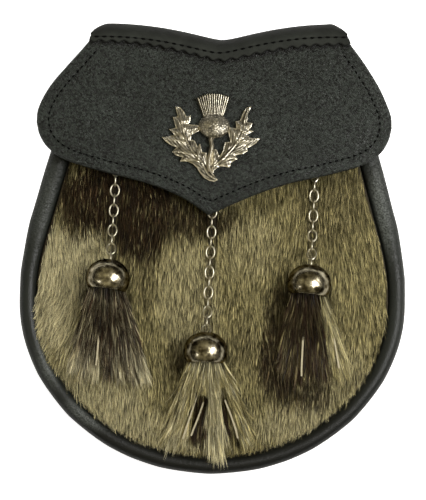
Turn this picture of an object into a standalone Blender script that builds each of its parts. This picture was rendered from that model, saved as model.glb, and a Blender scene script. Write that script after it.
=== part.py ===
"""A sporran pouch lying on its back: a leather pouch with a fur front, a flap with a thistle badge, and
three tassels on chains.

Metres, +Z out of the front, +Y towards the top, +X to the right as the wearer's front is seen. The origin is
under the middle of the pouch, on the surface that it lies on.
"""

import math

import bmesh
import bpy
from mathutils import Matrix, Vector
from mathutils.geometry import delaunay_2d_cdt

# Outline of the pouch seen from the front: half an ellipse below its widest place, and above it an arc that
# runs into a straight taper.
POUCH_HALF_WIDTH = 0.0948
WIDEST_Y = -0.0253
BOWL_DROP = 0.0853
SIDE_ARC_RADIUS = 0.156
SIDE_ARC_RISE = 0.042
RIM_STATIONS = 31

# Leather thicknesses, and the clearance between neighbouring pieces.
GUSSET_WALL = 0.002
BACK_WALL = 0.003
FRONT_WALL = 0.002
FLAP_WALL = 0.003
HINGE_WALL = 0.0016
LOOP_WALL = 0.0018
GAP = 0.0003

# Gusset: a C section that stands proud of both panels as a roll. Its depth grows from mouth to bottom.
GUSSET_TOP_Y = 0.086
SEAM_HEIGHT_AT_MOUTH = 0.0195
SEAM_HEIGHT_AT_BOTTOM = 0.0315
ROLL_WIDTH_BELOW = 0.0084
ROLL_WIDTH_ABOVE = 0.0102
ROLL_WIDENS_FROM = -0.020
ROLL_WIDENS_TO = 0.020
FRONT_ROLL_RISE = 0.0036
BACK_ROLL_RISE = 0.0032
SIDE_DENT = 0.0008
LIP_WIDTH = 0.0048
FRONT_LIP_DROP = 0.0018

# Back panel: its outer face lies in the recess inside the back roll.
BACK_FACE_Z = 0.0066
BACK_TOP_HALF_WIDTH = 0.0590
BACK_TOP_BELOW_FOLD = 0.0078

# Fur front: a crowned panel, flatter towards the mouth.
FRONT_EDGE_RISE = 0.0015
FRONT_CROWN = 0.0095
FRONT_CROWN_POWERS = (2.2, 0.6)
MOUTH_CROWN_SHARE = 0.45
MOUTH_FLATTENS_FROM = 0.020
MOUTH_DIP = 0.004
FRONT_CENTRE_Y = -0.015
FRONT_RINGS = (1.0, 0.93, 0.80, 0.55, 0.28)
MOUTH_POINTS = 7

# Top edge, where the hinge strip folds over: a wide V with soft sides, a little higher on the right.
FOLD_TOP_Y = 0.1106
FOLD_SLOPE = 0.014
FOLD_DIP = 0.00795
FOLD_DIP_REACH = 0.052
FOLD_DIP_SOFTNESS = 0.005
FOLD_DIP_X = 0.0013

# Hinge strip: a back leg on the back panel, a fold, and a front leg on the flap that ends in pinked teeth.
HINGE_HALF_WIDTH = 0.0646
HINGE_CORNER = (0.0073, 0.0042)
HINGE_END_Y = (0.0985, 0.1100)
HINGE_END_PULL = 0.0068
HINGE_END_POWER = 2.1
HINGE_END_REACH = 0.0128
HINGE_FOLD_DEPTH = 0.0062
HINGE_BACK_LEG = 0.0125
HINGE_FRONT_LEG = 0.0104
TOOTH_PITCH = 0.0060
TOOTH_DEPTH = 0.0013

# Flap: (x, y) points of the right half's outline. The left half is its mirror image, and both lean to the right
# towards the top. Each lean is its reach along x, and the y where it starts and ends.
FLAP_LEANS = ((-0.0006, 0.030, 0.060), (0.0022, 0.070, 0.100))
FLAP_SIDE = ((0.0640, 0.1012), (0.0735, 0.0893), (0.0812, 0.0785), (0.0864, 0.0675), (0.0872, 0.0605))
FLAP_FOOT = ((0.0872, 0.0605), (0.0855, 0.0540), (0.0812, 0.0476), (0.0725, 0.0419), (0.0553, 0.0368),
             (0.0345, 0.0317), (0.0170, 0.0252))
FLAP_TIP = (-0.0024, 0.0162)
FLAP_TOP_BELOW_FOLD = 0.0066
FLAP_HALF_WIDTH = 0.0872
FLAP_EDGE_Z = (0.0268, 0.0300)
FLAP_CROWN = (0.0006, 0.0132)
FLAP_ROWS = 6
FLAP_SIDE_COLUMNS = 6
FLAP_TOP_COLUMNS = 6

# Press stud between the front and the flap.
STUD_CENTRE = (-0.0010, 0.0370)
STUD_RADIUS = 0.0060

# Belt loops on the back: (side, x). Each bridges a tunnel that a strap runs through along X.
BELT_LOOPS = (("left", -0.038), ("right", 0.038))
LOOP_WIDTH = 0.018
LOOP_Y = (0.0340, 0.0780)
LOOP_FOOT = 0.0070
LOOP_RAMP = 0.0040
LOOP_BRIDGE_Z = 0.0003

# Chain of oval wire links.
LINK_LENGTH = 0.0068
LINK_WIDTH = 0.0050
LINK_WIRE = 0.00085
LINK_CLEARANCE = 0.00015
LINK_PITCH = LINK_LENGTH - 2 * LINK_WIRE - LINK_CLEARANCE
LINK_STEPS = 10
WIRE_SIDES = 5
CHAIN_LIFT = 0.0027
CHAIN_RISE_LENGTH = 0.022

# Tassels. x and y are the cap's middle, turn its apex in the front's plane, chain_x the chain's upper end.
# lean and spread give the strips' directions in degrees. flat_end: whether the link in the cap lies flat.
TASSELS = (
    {"side": "left", "x": -0.0510, "y": -0.0137, "turn": -7, "links": 9, "flat_end": False,
     "chain_x": -0.0483, "lean": 1, "spread": 16, "reach": 0.0475},
    {"side": "middle", "x": -0.0028, "y": -0.0484, "turn": -1, "links": 13, "flat_end": True,
     "chain_x": -0.0006, "lean": 2, "spread": 19, "reach": 0.0465},
    {"side": "right", "x": 0.0474, "y": -0.0146, "turn": -5, "links": 9, "flat_end": False,
     "chain_x": 0.0492, "lean": 2, "spread": 14, "reach": 0.0465},
)
CAP_RADIUS = 0.0107
CAP_LENGTH = 0.0155
CAP_WALL = 0.0009
CAP_HOLE_RADIUS = 0.0031
CAP_TILT = 4
CAP_SIDES = 16
CAP_PIN_DEPTH = 0.0006
CAP_PIN_RADIUS = 0.0005
HEAD_RADIUS = 0.0084
HEAD_TOP = 0.0052
HEAD_BOTTOM = 0.0134
STRIP_ROOT = (0.0028, -0.0048, 0.0024)
STRIP_WIDTH = 0.0054
STRIP_THICKNESS = 0.0017
STRIP_LAYERS = ((5, 1), (4, -1))
STRIP_SECTIONS = 5

# Chain anchors.
ANCHOR_RADIUS = 0.0032
ANCHOR_THICKNESS = 0.0012
ANCHOR_EYE_LENGTH = 0.0052
ANCHOR_EYE_WIDTH = 0.0046
ANCHOR_UPRIGHT_WIDTH = 0.0034
ANCHOR_EYE_APEX = (0.0010, 0.0005)

# Thistle badge. Its points are millimetres right of and above its middle. Heights are above the flap.
BADGE_CENTRE = (-0.0015, 0.0552)
BADGE_GAP = 0.0010
LEAF_EDGE = 0.0007
LEAF_RIB = 0.0023
LEFT_LEAF = (
    (3.1, -21.7), (1.3, -22.5), (-0.9, -22.1), (-3.6, -20.7), (-5.7, -18.2), (-7.2, -15.8), (-9.2, -13.9),
    (-11.6, -12.9), (-15.6, -12.8), (-14.4, -10.8), (-17.6, -9.9), (-19.6, -8.2), (-17.2, -6.0),
    (-20.1, -5.0), (-22.6, -3.3), (-24.6, -1.1), (-18.2, -0.1), (-21.2, 2.9), (-17.8, 3.6), (-19.4, 8.9),
    (-16.9, 9.2), (-18.3, 14.0), (-16.0, 13.7), (-14.0, 11.6), (-12.8, 9.2), (-10.6, 9.9), (-11.0, 6.7),
    (-12.1, 5.4),
    (-6.0, 5.0), (-6.2, 2.4), (-10.2, 0.3), (-10.6, -2.1), (-8.4, -2.6), (-7.1, -5.5), (-5.9, -3.9),
    (-4.8, -8.2), (-2.6, -8.4), (-2.3, -14.3), (-0.3, -17.7), (1.0, -18.9),
)
LEFT_RIB = ((-1.8, -18.6), (-5.0, -13.0), (-10.3, -6.6), (-13.8, 1.1), (-15.3, 8.0), (-16.7, 12.5))
RIGHT_LEAF = (
    (-0.5, -17.2), (0.0, -6.4), (2.3, -6.8), (3.8, -10.2), (5.7, -6.8), (6.4, -3.3), (9.1, -2.8),
    (7.8, 2.2), (8.0, 4.6), (11.8, 3.7), (11.3, 7.3), (13.5, 7.7), (15.2, 12.1), (16.9, 14.1),
    (18.9, 15.0), (18.1, 12.6),
    (17.3, 10.1), (17.0, 6.9), (19.6, 6.7), (19.0, 4.3), (17.5, 3.5), (20.3, 2.7), (16.9, 0.7), (18.6, -0.6),
    (23.5, -0.7), (21.6, -3.3), (19.2, -5.0), (17.2, -5.6), (17.5, -7.3), (15.3, -8.6), (11.4, -9.4),
    (12.5, -11.2), (9.5, -12.9), (8.8, -15.5), (6.1, -14.9), (3.6, -15.0), (1.9, -16.4), (0.7, -18.4),
)
RIGHT_RIB = ((0.6, -15.7), (5.7, -11.0), (10.4, -5.7), (13.8, -0.8), (15.4, 3.7), (16.0, 8.5), (17.3, 12.8))
STEM_PATH = ((-0.4, 2.0), (-0.5, -7.0), (-1.0, -17.6))
STEM_RADIUS = 0.0010
THISTLE_BALL = {"x": 0.9, "y": 4.8, "half_width": 7.6, "half_height": 6.1, "middle": 1.0, "rise": 4.4}
CROWN_FOOT = ((-4.4, 8.6), (0.5, 9.6), (5.4, 8.7))
CROWN_TOP = ((-8.3, 18.0), (-4.1, 19.9), (0.3, 20.7), (4.7, 20.3), (8.8, 18.8))
CROWN_RIBS = 9
CROWN_HEIGHTS = (0.0013, 0.0024)


def steps(start, end, count):
    """count + 1 evenly spaced numbers from start to end."""
    return [start + (end - start) * i / count for i in range(count + 1)]


def smooth_step(value, low, high):
    """0 below low, 1 above high, and an S curve between them."""
    share = min(1.0, max(0.0, (value - low) / (high - low)))
    return share * share * (3 - 2 * share)


def turned(x, y, degrees):
    angle = math.radians(degrees)
    return x * math.cos(angle) - y * math.sin(angle), x * math.sin(angle) + y * math.cos(angle)


def resampled(points, count):
    """count + 1 points evenly spaced along a polyline."""
    points = [Vector(point) for point in points]
    lengths = [0.0]
    for first, second in zip(points, points[1:]):
        lengths.append(lengths[-1] + (second - first).length)
    found = []
    index = 0
    for goal in steps(0.0, lengths[-1], count):
        while index < len(points) - 2 and lengths[index + 1] < goal:
            index += 1
        share = (goal - lengths[index]) / (lengths[index + 1] - lengths[index])
        found.append(points[index].lerp(points[index + 1], share))
    return found


def curve_through(points, count, density=12):
    """count + 1 evenly spaced points on a Catmull-Rom curve through the points."""
    points = [Vector(point) for point in points]
    padded = [2 * points[0] - points[1], *points, 2 * points[-1] - points[-2]]
    dense = []
    for i in range(len(points) - 1):
        a, b, c, d = padded[i : i + 4]
        for t in steps(0.0, 1.0, density)[:-1]:
            bend = (2 * a - 5 * b + 4 * c - d) * t**2 + (3 * b - a - 3 * c + d) * t**3
            dense.append(0.5 * (2 * b + (c - a) * t + bend))
    dense.append(points[-1])
    return resampled(dense, count)


def half_width(y):
    """Half the pouch's width at y."""
    rise = y - WIDEST_Y
    if rise < 0:
        return POUCH_HALF_WIDTH * math.sqrt(max(0.0, 1 - (rise / BOWL_DROP) ** 2))
    on_arc = min(rise, SIDE_ARC_RISE)
    run = math.sqrt(SIDE_ARC_RADIUS**2 - on_arc**2)
    return POUCH_HALF_WIDTH - (SIDE_ARC_RADIUS - run) - (rise - on_arc) * on_arc / run


def rim():
    """(point, inward normal) at even stations round the pouch, from the left of its mouth to the right."""
    upper = [(half_width(y), y) for y in steps(GUSSET_TOP_Y, WIDEST_Y, 60)]
    lower = [
        (POUCH_HALF_WIDTH * math.cos(angle), WIDEST_Y - BOWL_DROP * math.sin(angle))
        for angle in steps(0, math.pi / 2, 90)[1:]
    ]
    right = upper + lower
    dense = resampled([(-x, y) for x, y in right] + right[-2::-1], 4 * (RIM_STATIONS - 1))
    stations = []
    for i in range(0, len(dense), 4):
        along = dense[min(i + 1, len(dense) - 1)] - dense[max(i - 1, 0)]
        stations.append((dense[i], Vector((-along.y, along.x)).normalized()))
    return stations


def inset_rim(distance):
    """The rim moved inwards by the roll's width and a distance."""
    return [point + inward * (roll_width(point.y) + distance) for point, inward in rim()]


def roll_width(y):
    share = smooth_step(y, ROLL_WIDENS_FROM, ROLL_WIDENS_TO)
    return ROLL_WIDTH_BELOW + share * (ROLL_WIDTH_ABOVE - ROLL_WIDTH_BELOW)


def seam_height(y):
    """Height of the seam between the front and the gusset."""
    share = (GUSSET_TOP_Y - y) / (GUSSET_TOP_Y - WIDEST_Y + BOWL_DROP)
    return SEAM_HEIGHT_AT_MOUTH + share * (SEAM_HEIGHT_AT_BOTTOM - SEAM_HEIGHT_AT_MOUTH)


def front_height(x, y):
    """Height of the fur front's outer face."""
    inset = roll_width(y)
    if y < WIDEST_Y:
        across = x / (POUCH_HALF_WIDTH - inset)
        down = (y - WIDEST_Y) / (BOWL_DROP - inset)
        out = min(1.0, math.hypot(across, down))
    else:
        out = min(1.0, abs(x) / (half_width(y) - inset))
    inner, outer = FRONT_CROWN_POWERS
    crown = FRONT_CROWN * (1 - out**inner) ** outer
    flatten = 1 - (1 - MOUTH_CROWN_SHARE) * smooth_step(y, MOUTH_FLATTENS_FROM, GUSSET_TOP_Y)
    return seam_height(y) + FRONT_EDGE_RISE + crown * flatten


def fold_top(x):
    """y of the top edge at x: a line with a soft V in its middle."""
    away = math.hypot(x - FOLD_DIP_X, FOLD_DIP_SOFTNESS) - FOLD_DIP_SOFTNESS
    return FOLD_TOP_Y + FOLD_SLOPE * x - FOLD_DIP * max(0.0, 1 - away / FOLD_DIP_REACH) ** 2


def flap_lean(y):
    """How far the flap and its hinge stand to the right of the middle at y."""
    return sum(reach * smooth_step(y, low, high) for reach, low, high in FLAP_LEANS)


def corner_fall(x):
    """How far the fold draws back at x to round off the hinge strip's ends."""
    run, fall = HINGE_CORNER
    past = min(1.0, max(0.0, (abs(x) - (HINGE_HALF_WIDTH - run)) / run))
    return fall * (1 - math.sqrt(1 - past**2))


def end_drawn_in(x, y):
    """x of a point of the hinge strip, drawn in near its ends where the strip nears the fold."""
    low, high = HINGE_END_Y
    pull = HINGE_END_PULL * max(0.0, (y - low) / (high - low)) ** HINGE_END_POWER
    near_end = max(0.0, 1 - (HINGE_HALF_WIDTH - abs(x)) / HINGE_END_REACH)
    return math.copysign(abs(x) - pull * near_end, x) + flap_lean(y)


def flap_height(x, y):
    """Height of the flap's outer face: flat under the hinge, and crowned over the fur front."""
    start = FOLD_TOP_Y - FLAP_TOP_BELOW_FOLD
    share = min(1.0, max(0.0, (start - y) / (start - FLAP_TIP[1])))
    edge = FLAP_EDGE_Z[0] + share * (FLAP_EDGE_Z[1] - FLAP_EDGE_Z[0])
    crown = FLAP_CROWN[0] + smooth_step(share, 0, 1) * (FLAP_CROWN[1] - FLAP_CROWN[0])
    return edge + crown * (1 - min(1.0, abs(x) / FLAP_HALF_WIDTH) ** 3)


def material(name, colour, roughness, metallic=0.0):
    """A Principled material from an sRGB hex colour."""
    made = bpy.data.materials.new(name)
    made.use_nodes = True
    shader = made.node_tree.nodes["Principled BSDF"]
    channels = [int(colour[i : i + 2], 16) / 255 for i in (0, 2, 4)]
    linear = [c / 12.92 if c <= 0.04045 else ((c + 0.055) / 1.055) ** 2.4 for c in channels]
    shader.inputs["Base Color"].default_value = (*linear, 1)
    shader.inputs["Roughness"].default_value = roughness
    shader.inputs["Metallic"].default_value = metallic
    made.diffuse_color = (*linear, 1)
    return made


def new_object(name, mesh, finish, sharp_angle=40):
    mesh.shade_smooth()
    mesh.set_sharp_from_angle(angle=math.radians(sharp_angle))
    made = bpy.data.objects.new(name, mesh)
    made.data.materials.append(finish)
    bpy.context.scene.collection.objects.link(made)
    return made


def mesh_from(name, points, faces):
    mesh = bpy.data.meshes.new(name)
    mesh.from_pydata([tuple(point) for point in points], [], faces)
    return mesh


def mesh_of(name, shape):
    """A mesh from a bmesh, with its faces turned outwards."""
    bmesh.ops.recalc_face_normals(shape, faces=shape.faces)
    mesh = bpy.data.meshes.new(name)
    shape.to_mesh(mesh)
    shape.free()
    return mesh


def grid_faces(rows, columns):
    """Quads of a grid whose points are listed row after row."""
    return [
        (r * columns + c, r * columns + c + 1, (r + 1) * columns + c + 1, (r + 1) * columns + c)
        for r in range(rows - 1)
        for c in range(columns - 1)
    ]


def leather(name, mesh, wall, offset, finish):
    """A piece cut from sheet: the mesh is its outer face, or its middle surface where offset is 0."""
    made = new_object(name, mesh, finish)
    sheet = made.modifiers.new("Wall", "SOLIDIFY")
    sheet.thickness = wall
    sheet.offset = offset
    sheet.use_even_offset = True
    return made


def fuse(base, others):
    """Joins the other solids to the base, and keeps them as hidden helpers."""
    for other in others:
        join = base.modifiers.new("Join " + other.name, "BOOLEAN")
        join.operation = "UNION"
        join.solver = "EXACT"
        join.object = other
        other.hide_render = True
        other.display_type = "WIRE"
    return base


def plate(name, outline, low, high, finish):
    """A flat plate: the outline's face, extruded from one height to the other."""
    shape = bmesh.new()
    face = shape.faces.new([shape.verts.new((x, y, low)) for x, y in outline])
    grown = bmesh.ops.extrude_face_region(shape, geom=[face])
    lifted = [item for item in grown["geom"] if isinstance(item, bmesh.types.BMVert)]
    bmesh.ops.translate(shape, verts=lifted, vec=(0, 0, high - low))
    return new_object(name, mesh_of(name, shape), finish)


def wire_mesh(name, path, radius, closed):
    """A round wire along a path in its own XY plane."""
    count = len(path)
    points = []
    for i, point in enumerate(path):
        before = path[i - 1] if closed or i else point
        after = path[(i + 1) % count] if closed or i < count - 1 else point
        along = (Vector(after) - Vector(before)).normalized()
        side = Vector((-along.y, along.x, 0))
        for k in range(WIRE_SIDES):
            angle = 2 * math.pi * k / WIRE_SIDES
            around = side * math.cos(angle) + Vector((0, 0, math.sin(angle)))
            points.append(Vector(point) + radius * around)
    faces = []
    for i in range(count if closed else count - 1):
        for k in range(WIRE_SIDES):
            here, there, turn = i * WIRE_SIDES, (i + 1) % count * WIRE_SIDES, (k + 1) % WIRE_SIDES
            faces.append((here + k, there + k, there + turn, here + turn))
    if not closed:
        faces.append(tuple(range(WIRE_SIDES)))
        faces.append(tuple(reversed(range((count - 1) * WIRE_SIDES, count * WIRE_SIDES))))
    shape = bmesh.new()
    shape.from_mesh(mesh_from(name, points, faces))
    return mesh_of(name, shape)


def turned_mesh(name, profile, sides):
    """A closed (radius, height) profile spun round the Y axis."""
    shape = bmesh.new()
    verts = [shape.verts.new((radius, height, 0)) for radius, height in profile]
    edges = [shape.edges.new((verts[i - 1], verts[i])) for i in range(len(verts))]
    bmesh.ops.spin(shape, geom=verts + edges, axis=(0, 1, 0), cent=(0, 0, 0), steps=sides, angle=2 * math.pi)
    bmesh.ops.remove_doubles(shape, verts=shape.verts, dist=1e-6)
    return mesh_of(name, shape)


def cylinder(name, radius, depth, sides, place, finish):
    shape = bmesh.new()
    bmesh.ops.create_cone(
        shape, cap_ends=True, segments=sides, radius1=radius, radius2=radius, depth=depth, matrix=place
    )
    return new_object(name, mesh_of(name, shape), finish)


def gusset_section(y):
    """(inset, height) points of the gusset's middle surface, from its front lip to its back lip."""
    roll = roll_width(y)
    seam = seam_height(y)
    half_wall = GUSSET_WALL / 2
    half_roll = roll / 2 - half_wall
    front_lip = seam - FRONT_LIP_DROP
    back_lip = BACK_FACE_Z + BACK_WALL + GAP + half_wall
    back_centre = half_wall / math.cos(math.pi / 8) + BACK_ROLL_RISE
    points = [(roll + LIP_WIDTH, front_lip), (roll - half_wall, front_lip)]
    for angle in steps(0, math.pi, 4):
        rise = FRONT_ROLL_RISE * math.sin(angle)
        points.append((roll / 2 + half_roll * math.cos(angle), seam + rise))
    points.append((half_wall + SIDE_DENT, (seam + back_centre) / 2))
    for angle in steps(math.pi, 2 * math.pi, 4):
        rise = BACK_ROLL_RISE * math.sin(angle)
        points.append((roll / 2 + half_roll * math.cos(angle), back_centre + rise))
    points += [(roll - half_wall, back_lip), (roll + LIP_WIDTH, back_lip)]
    return points


def make_gusset(finish):
    stations = rim()
    points = []
    for point, inward in stations:
        for inset, height in gusset_section(point.y):
            place = point + inward * inset
            points.append((place.x, place.y, height))
    mesh = mesh_from("gusset", points, grid_faces(len(stations), len(gusset_section(0))))
    return leather("gusset", mesh, GUSSET_WALL, 0, finish)


def make_back_panel(finish):
    outline = inset_rim(GAP)
    sides = BACK_TOP_HALF_WIDTH
    top = [(x, fold_top(x) - BACK_TOP_BELOW_FOLD) for x in steps(sides, -sides, 12)]
    outline = [(point.x, point.y) for point in outline] + top
    return plate("back_panel", outline, BACK_FACE_Z, BACK_FACE_Z + BACK_WALL, finish)


def front_outline():
    """The fur front's edge: the rim inside the roll, and the mouth's edge under the flap."""
    around = inset_rim(GAP)[1:-1]
    right, left = around[-1], around[0]
    mouth = []
    for share in steps(0, 1, MOUTH_POINTS + 1)[1:-1]:
        dip = MOUTH_DIP * math.sin(math.pi * share)
        mouth.append(right.lerp(left, share) - Vector((0, dip)))
    return around + mouth


def make_front(finish):
    outline = front_outline()
    centre = Vector((0, FRONT_CENTRE_Y))
    points = []
    for ring in FRONT_RINGS:
        for edge in outline:
            place = centre.lerp(edge, ring)
            points.append((place.x, place.y, front_height(*place)))
    points.append((0, FRONT_CENTRE_Y, front_height(0, FRONT_CENTRE_Y)))
    count = len(outline)
    faces = []
    for ring in range(len(FRONT_RINGS) - 1):
        for i in range(count):
            after = (i + 1) % count
            outer, inner = ring * count, (ring + 1) * count
            faces.append((outer + i, outer + after, inner + after, inner + i))
    last = (len(FRONT_RINGS) - 1) * count
    faces += [(last + i, last + (i + 1) % count, len(points) - 1) for i in range(count)]
    return leather("sealskin_front", mesh_from("sealskin_front", points, faces), FRONT_WALL, -1, finish)


def flap_columns():
    """(top point, foot point) of each column of the flap, from its left end to its right end."""
    side = curve_through(FLAP_SIDE, FLAP_SIDE_COLUMNS)[::-1]
    top_x = FLAP_SIDE[0][0]
    crest = [Vector((x, fold_top(x) - FLAP_TOP_BELOW_FOLD)) for x in steps(top_x, 0, FLAP_TOP_COLUMNS)[1:]]
    right_top = side + crest
    columns = len(right_top) - 1
    right_foot = curve_through((*FLAP_FOOT, FLAP_TIP), columns)
    left_tip = (-FLAP_TIP[0], FLAP_TIP[1])
    left_foot = [Vector((-point.x, point.y)) for point in curve_through((*FLAP_FOOT, left_tip), columns)]
    left_top = []
    for x, y in right_top:
        left_top.append(Vector((-x, fold_top(-x) - FLAP_TOP_BELOW_FOLD if x < top_x else y)))
    rows = left_top + right_top[-2::-1], left_foot + right_foot[-2::-1]
    return list(zip(*[[Vector((x + flap_lean(y), y)) for x, y in row] for row in rows]))


def make_flap(finish):
    columns = flap_columns()
    inner = columns[1:-1]
    points = []
    for top, foot in inner:
        for share in steps(0, 1, FLAP_ROWS):
            place = top.lerp(foot, share)
            points.append((place.x, place.y, flap_height(*place)))
    rows = FLAP_ROWS + 1
    faces = [tuple(reversed(face)) for face in grid_faces(len(inner), rows)]
    for end, first in ((columns[0][0], 0), (columns[-1][0], (len(inner) - 1) * rows)):
        points.append((end.x, end.y, flap_height(*end)))
        for row in range(FLAP_ROWS):
            face = (len(points) - 1, first + row, first + row + 1)
            faces.append(face if first else tuple(reversed(face)))
    shape = bmesh.new()
    shape.from_mesh(mesh_from("flap", points, faces))
    mesh = mesh_of("flap", shape)
    if mesh.polygons[0].normal.z < 0:
        mesh.flip_normals()
    return leather("flap", mesh, FLAP_WALL, -1, finish)


def hinge_section(x):
    """(y, height) points of the hinge strip's middle surface at x, from its back edge to its front edge."""
    top = fold_top(x)
    back = BACK_FACE_Z - GAP - HINGE_WALL / 2
    fold_y = top - HINGE_FOLD_DEPTH
    front = flap_height(x, fold_y) + GAP + HINGE_WALL / 2
    middle, rise = (front + back) / 2, (front - back) / 2
    reach = HINGE_FOLD_DEPTH - HINGE_WALL / 2 - corner_fall(x)
    points = [(fold_y - HINGE_BACK_LEG, back), (fold_y, back)]
    for angle in (-55, 0, 55):
        bend = math.radians(angle)
        points.append((fold_y + reach * math.cos(bend), middle + rise * math.sin(bend)))
    edge = top - HINGE_FRONT_LEG
    return [*points, (fold_y, front), (edge, flap_height(x, edge) + GAP + HINGE_WALL / 2)]


def make_hinge_strip(finish):
    teeth = round(2 * HINGE_HALF_WIDTH / TOOTH_PITCH)
    columns = steps(-HINGE_HALF_WIDTH, HINGE_HALF_WIDTH, teeth)
    points = [(end_drawn_in(x, y), y, height) for x in columns for y, height in hinge_section(x)]
    rows = len(hinge_section(0))
    faces = grid_faces(len(columns), rows)
    for i in range(teeth):
        x = (columns[i] + columns[i + 1]) / 2
        y = fold_top(x) - HINGE_FRONT_LEG - TOOTH_DEPTH
        points.append((x + flap_lean(y), y, flap_height(x, y) + GAP + HINGE_WALL / 2))
        faces.append((i * rows + rows - 1, len(points) - 1, (i + 1) * rows + rows - 1))
    shape = bmesh.new()
    shape.from_mesh(mesh_from("hinge_strip", points, faces))
    return leather("hinge_strip", mesh_of("hinge_strip", shape), HINGE_WALL, 0, finish)


def make_belt_loop(side, x, finish):
    """A bridge of leather across a strap tunnel, with a foot at each end against the back panel."""
    low, high = LOOP_Y
    foot = BACK_FACE_Z - GAP - LOOP_WALL / 2
    bridge = LOOP_BRIDGE_Z + LOOP_WALL / 2
    profile = ((low, foot), (low + LOOP_FOOT, foot), (low + LOOP_FOOT + LOOP_RAMP, bridge),
               (high - LOOP_FOOT - LOOP_RAMP, bridge), (high - LOOP_FOOT, foot), (high, foot))
    points = [(x + edge, y, height) for y, height in profile for edge in (-LOOP_WIDTH / 2, LOOP_WIDTH / 2)]
    mesh = mesh_from("belt_loop", points, grid_faces(len(profile), 2))
    return leather("belt_loop_" + side, mesh, LOOP_WALL, 0, finish)


def make_stud(finish):
    x, y = STUD_CENTRE
    around = [turned(STUD_RADIUS, 0, angle) for angle in range(0, 360, 15)]
    low = max(front_height(x + dx, y + dy) for dx, dy in around) + GAP
    high = min(flap_height(x + dx, y + dy) for dx, dy in around) - FLAP_WALL - 2 * GAP
    place = Matrix.Translation((x, y, (low + high) / 2))
    return cylinder("snap_stud", STUD_RADIUS, high - low, 14, place, finish)


def link_path():
    """An oval: straight sides between two half circles, in the XY plane with its length along Y."""
    radius = LINK_WIDTH / 2 - LINK_WIRE / 2
    straight = LINK_LENGTH / 2 - LINK_WIDTH / 2
    path = []
    for k in range(LINK_STEPS):
        angle = 2 * math.pi * (k + 0.5) / LINK_STEPS
        shift = math.copysign(straight, math.sin(angle))
        path.append((radius * math.cos(angle), radius * math.sin(angle) + shift, 0))
    return path


def cap_frame(tassel):
    """Placement of a tassel cap: +Y out of its apex, tilted down to the fur and turned towards its chain."""
    turn = Matrix.Rotation(math.radians(tassel["turn"]), 4, "Z")
    slope = (front_height(tassel["x"], tassel["y"] - CAP_LENGTH / 2)
             - front_height(tassel["x"], tassel["y"] + CAP_LENGTH / 2)) / CAP_LENGTH
    tilt = Matrix.Rotation(-math.radians(CAP_TILT) - math.atan(slope), 4, "X")
    level = Matrix.Translation((tassel["x"], tassel["y"], 0)) @ turn @ tilt
    lift = -math.inf
    for radius, height in cap_profile():
        for angle in range(-60, 61, 20):
            across, down = turned(0, -radius, angle)
            point = level @ Vector((across, height, down))
            lift = max(lift, front_height(point.x, point.y) - point.z)
    return Matrix.Translation((0, 0, lift + GAP)) @ level


def surface_turn(x, y):
    """Rotation that lays a flat piece on the fur front at x, y."""
    reach = 0.002
    slope_x = (front_height(x + reach, y) - front_height(x - reach, y)) / (2 * reach)
    slope_y = (front_height(x, y + reach) - front_height(x, y - reach)) / (2 * reach)
    return Vector((0, 0, 1)).rotation_difference(Vector((-slope_x, -slope_y, 1))).to_matrix().to_4x4()


def chain_places(tassel):
    """Centres of a chain's links, from the cap's pin upwards, then the place of the anchor's eye."""
    pin = cap_frame(tassel) @ Vector((0, CAP_LENGTH / 2 - CAP_PIN_DEPTH, 0))
    run_x = (tassel["chain_x"] - pin.x) / (LINK_PITCH * tassel["links"])
    pin_lift = pin.z - front_height(pin.x, pin.y)

    def on_chain(up):
        y = pin.y + up
        x = pin.x + run_x * up
        rise = max(0.0, 1 - up / CHAIN_RISE_LENGTH) ** 2
        return Vector((x, y, front_height(x, y) + CHAIN_LIFT + (pin_lift - CHAIN_LIFT) * rise))

    hold = LINK_LENGTH / 2 - LINK_WIRE - LINK_CLEARANCE
    strides = [hold - CAP_PIN_RADIUS] + [LINK_PITCH] * (tassel["links"] - 1) + [hold - LINK_WIRE / 2]
    places = [pin]
    up = 0.0
    for stride in strides:
        low, high = up, up + 2 * stride
        for _ in range(40):
            middle = (low + high) / 2
            if (on_chain(middle) - places[-1]).length < stride:
                low = middle
            else:
                high = middle
        up = (low + high) / 2
        places.append(on_chain(up))
    return places


def lies_flat(tassel, index):
    """Whether a chain's link lies flat on the fur. Index 1 is the link in the cap."""
    return tassel["flat_end"] == bool(index % 2)


def make_chain(tassel, mesh):
    """The links of one chain, every other one on edge. Number 1 is nearest the flap."""
    places = chain_places(tassel)
    count = tassel["links"]
    for index in range(1, count + 1):
        along = (places[index + 1] - places[index - 1]).normalized()
        side = along.cross(Vector((0, 0, 1))).normalized()
        up = side.cross(along)
        if not lies_flat(tassel, index):
            side, up = up, -side
        link = bpy.data.objects.new("link_%s_%02d" % (tassel["side"], count + 1 - index), mesh)
        turn = Matrix((side, along, up)).transposed().to_4x4()
        link.matrix_world = Matrix.Translation(places[index]) @ turn
        bpy.context.scene.collection.objects.link(link)


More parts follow.
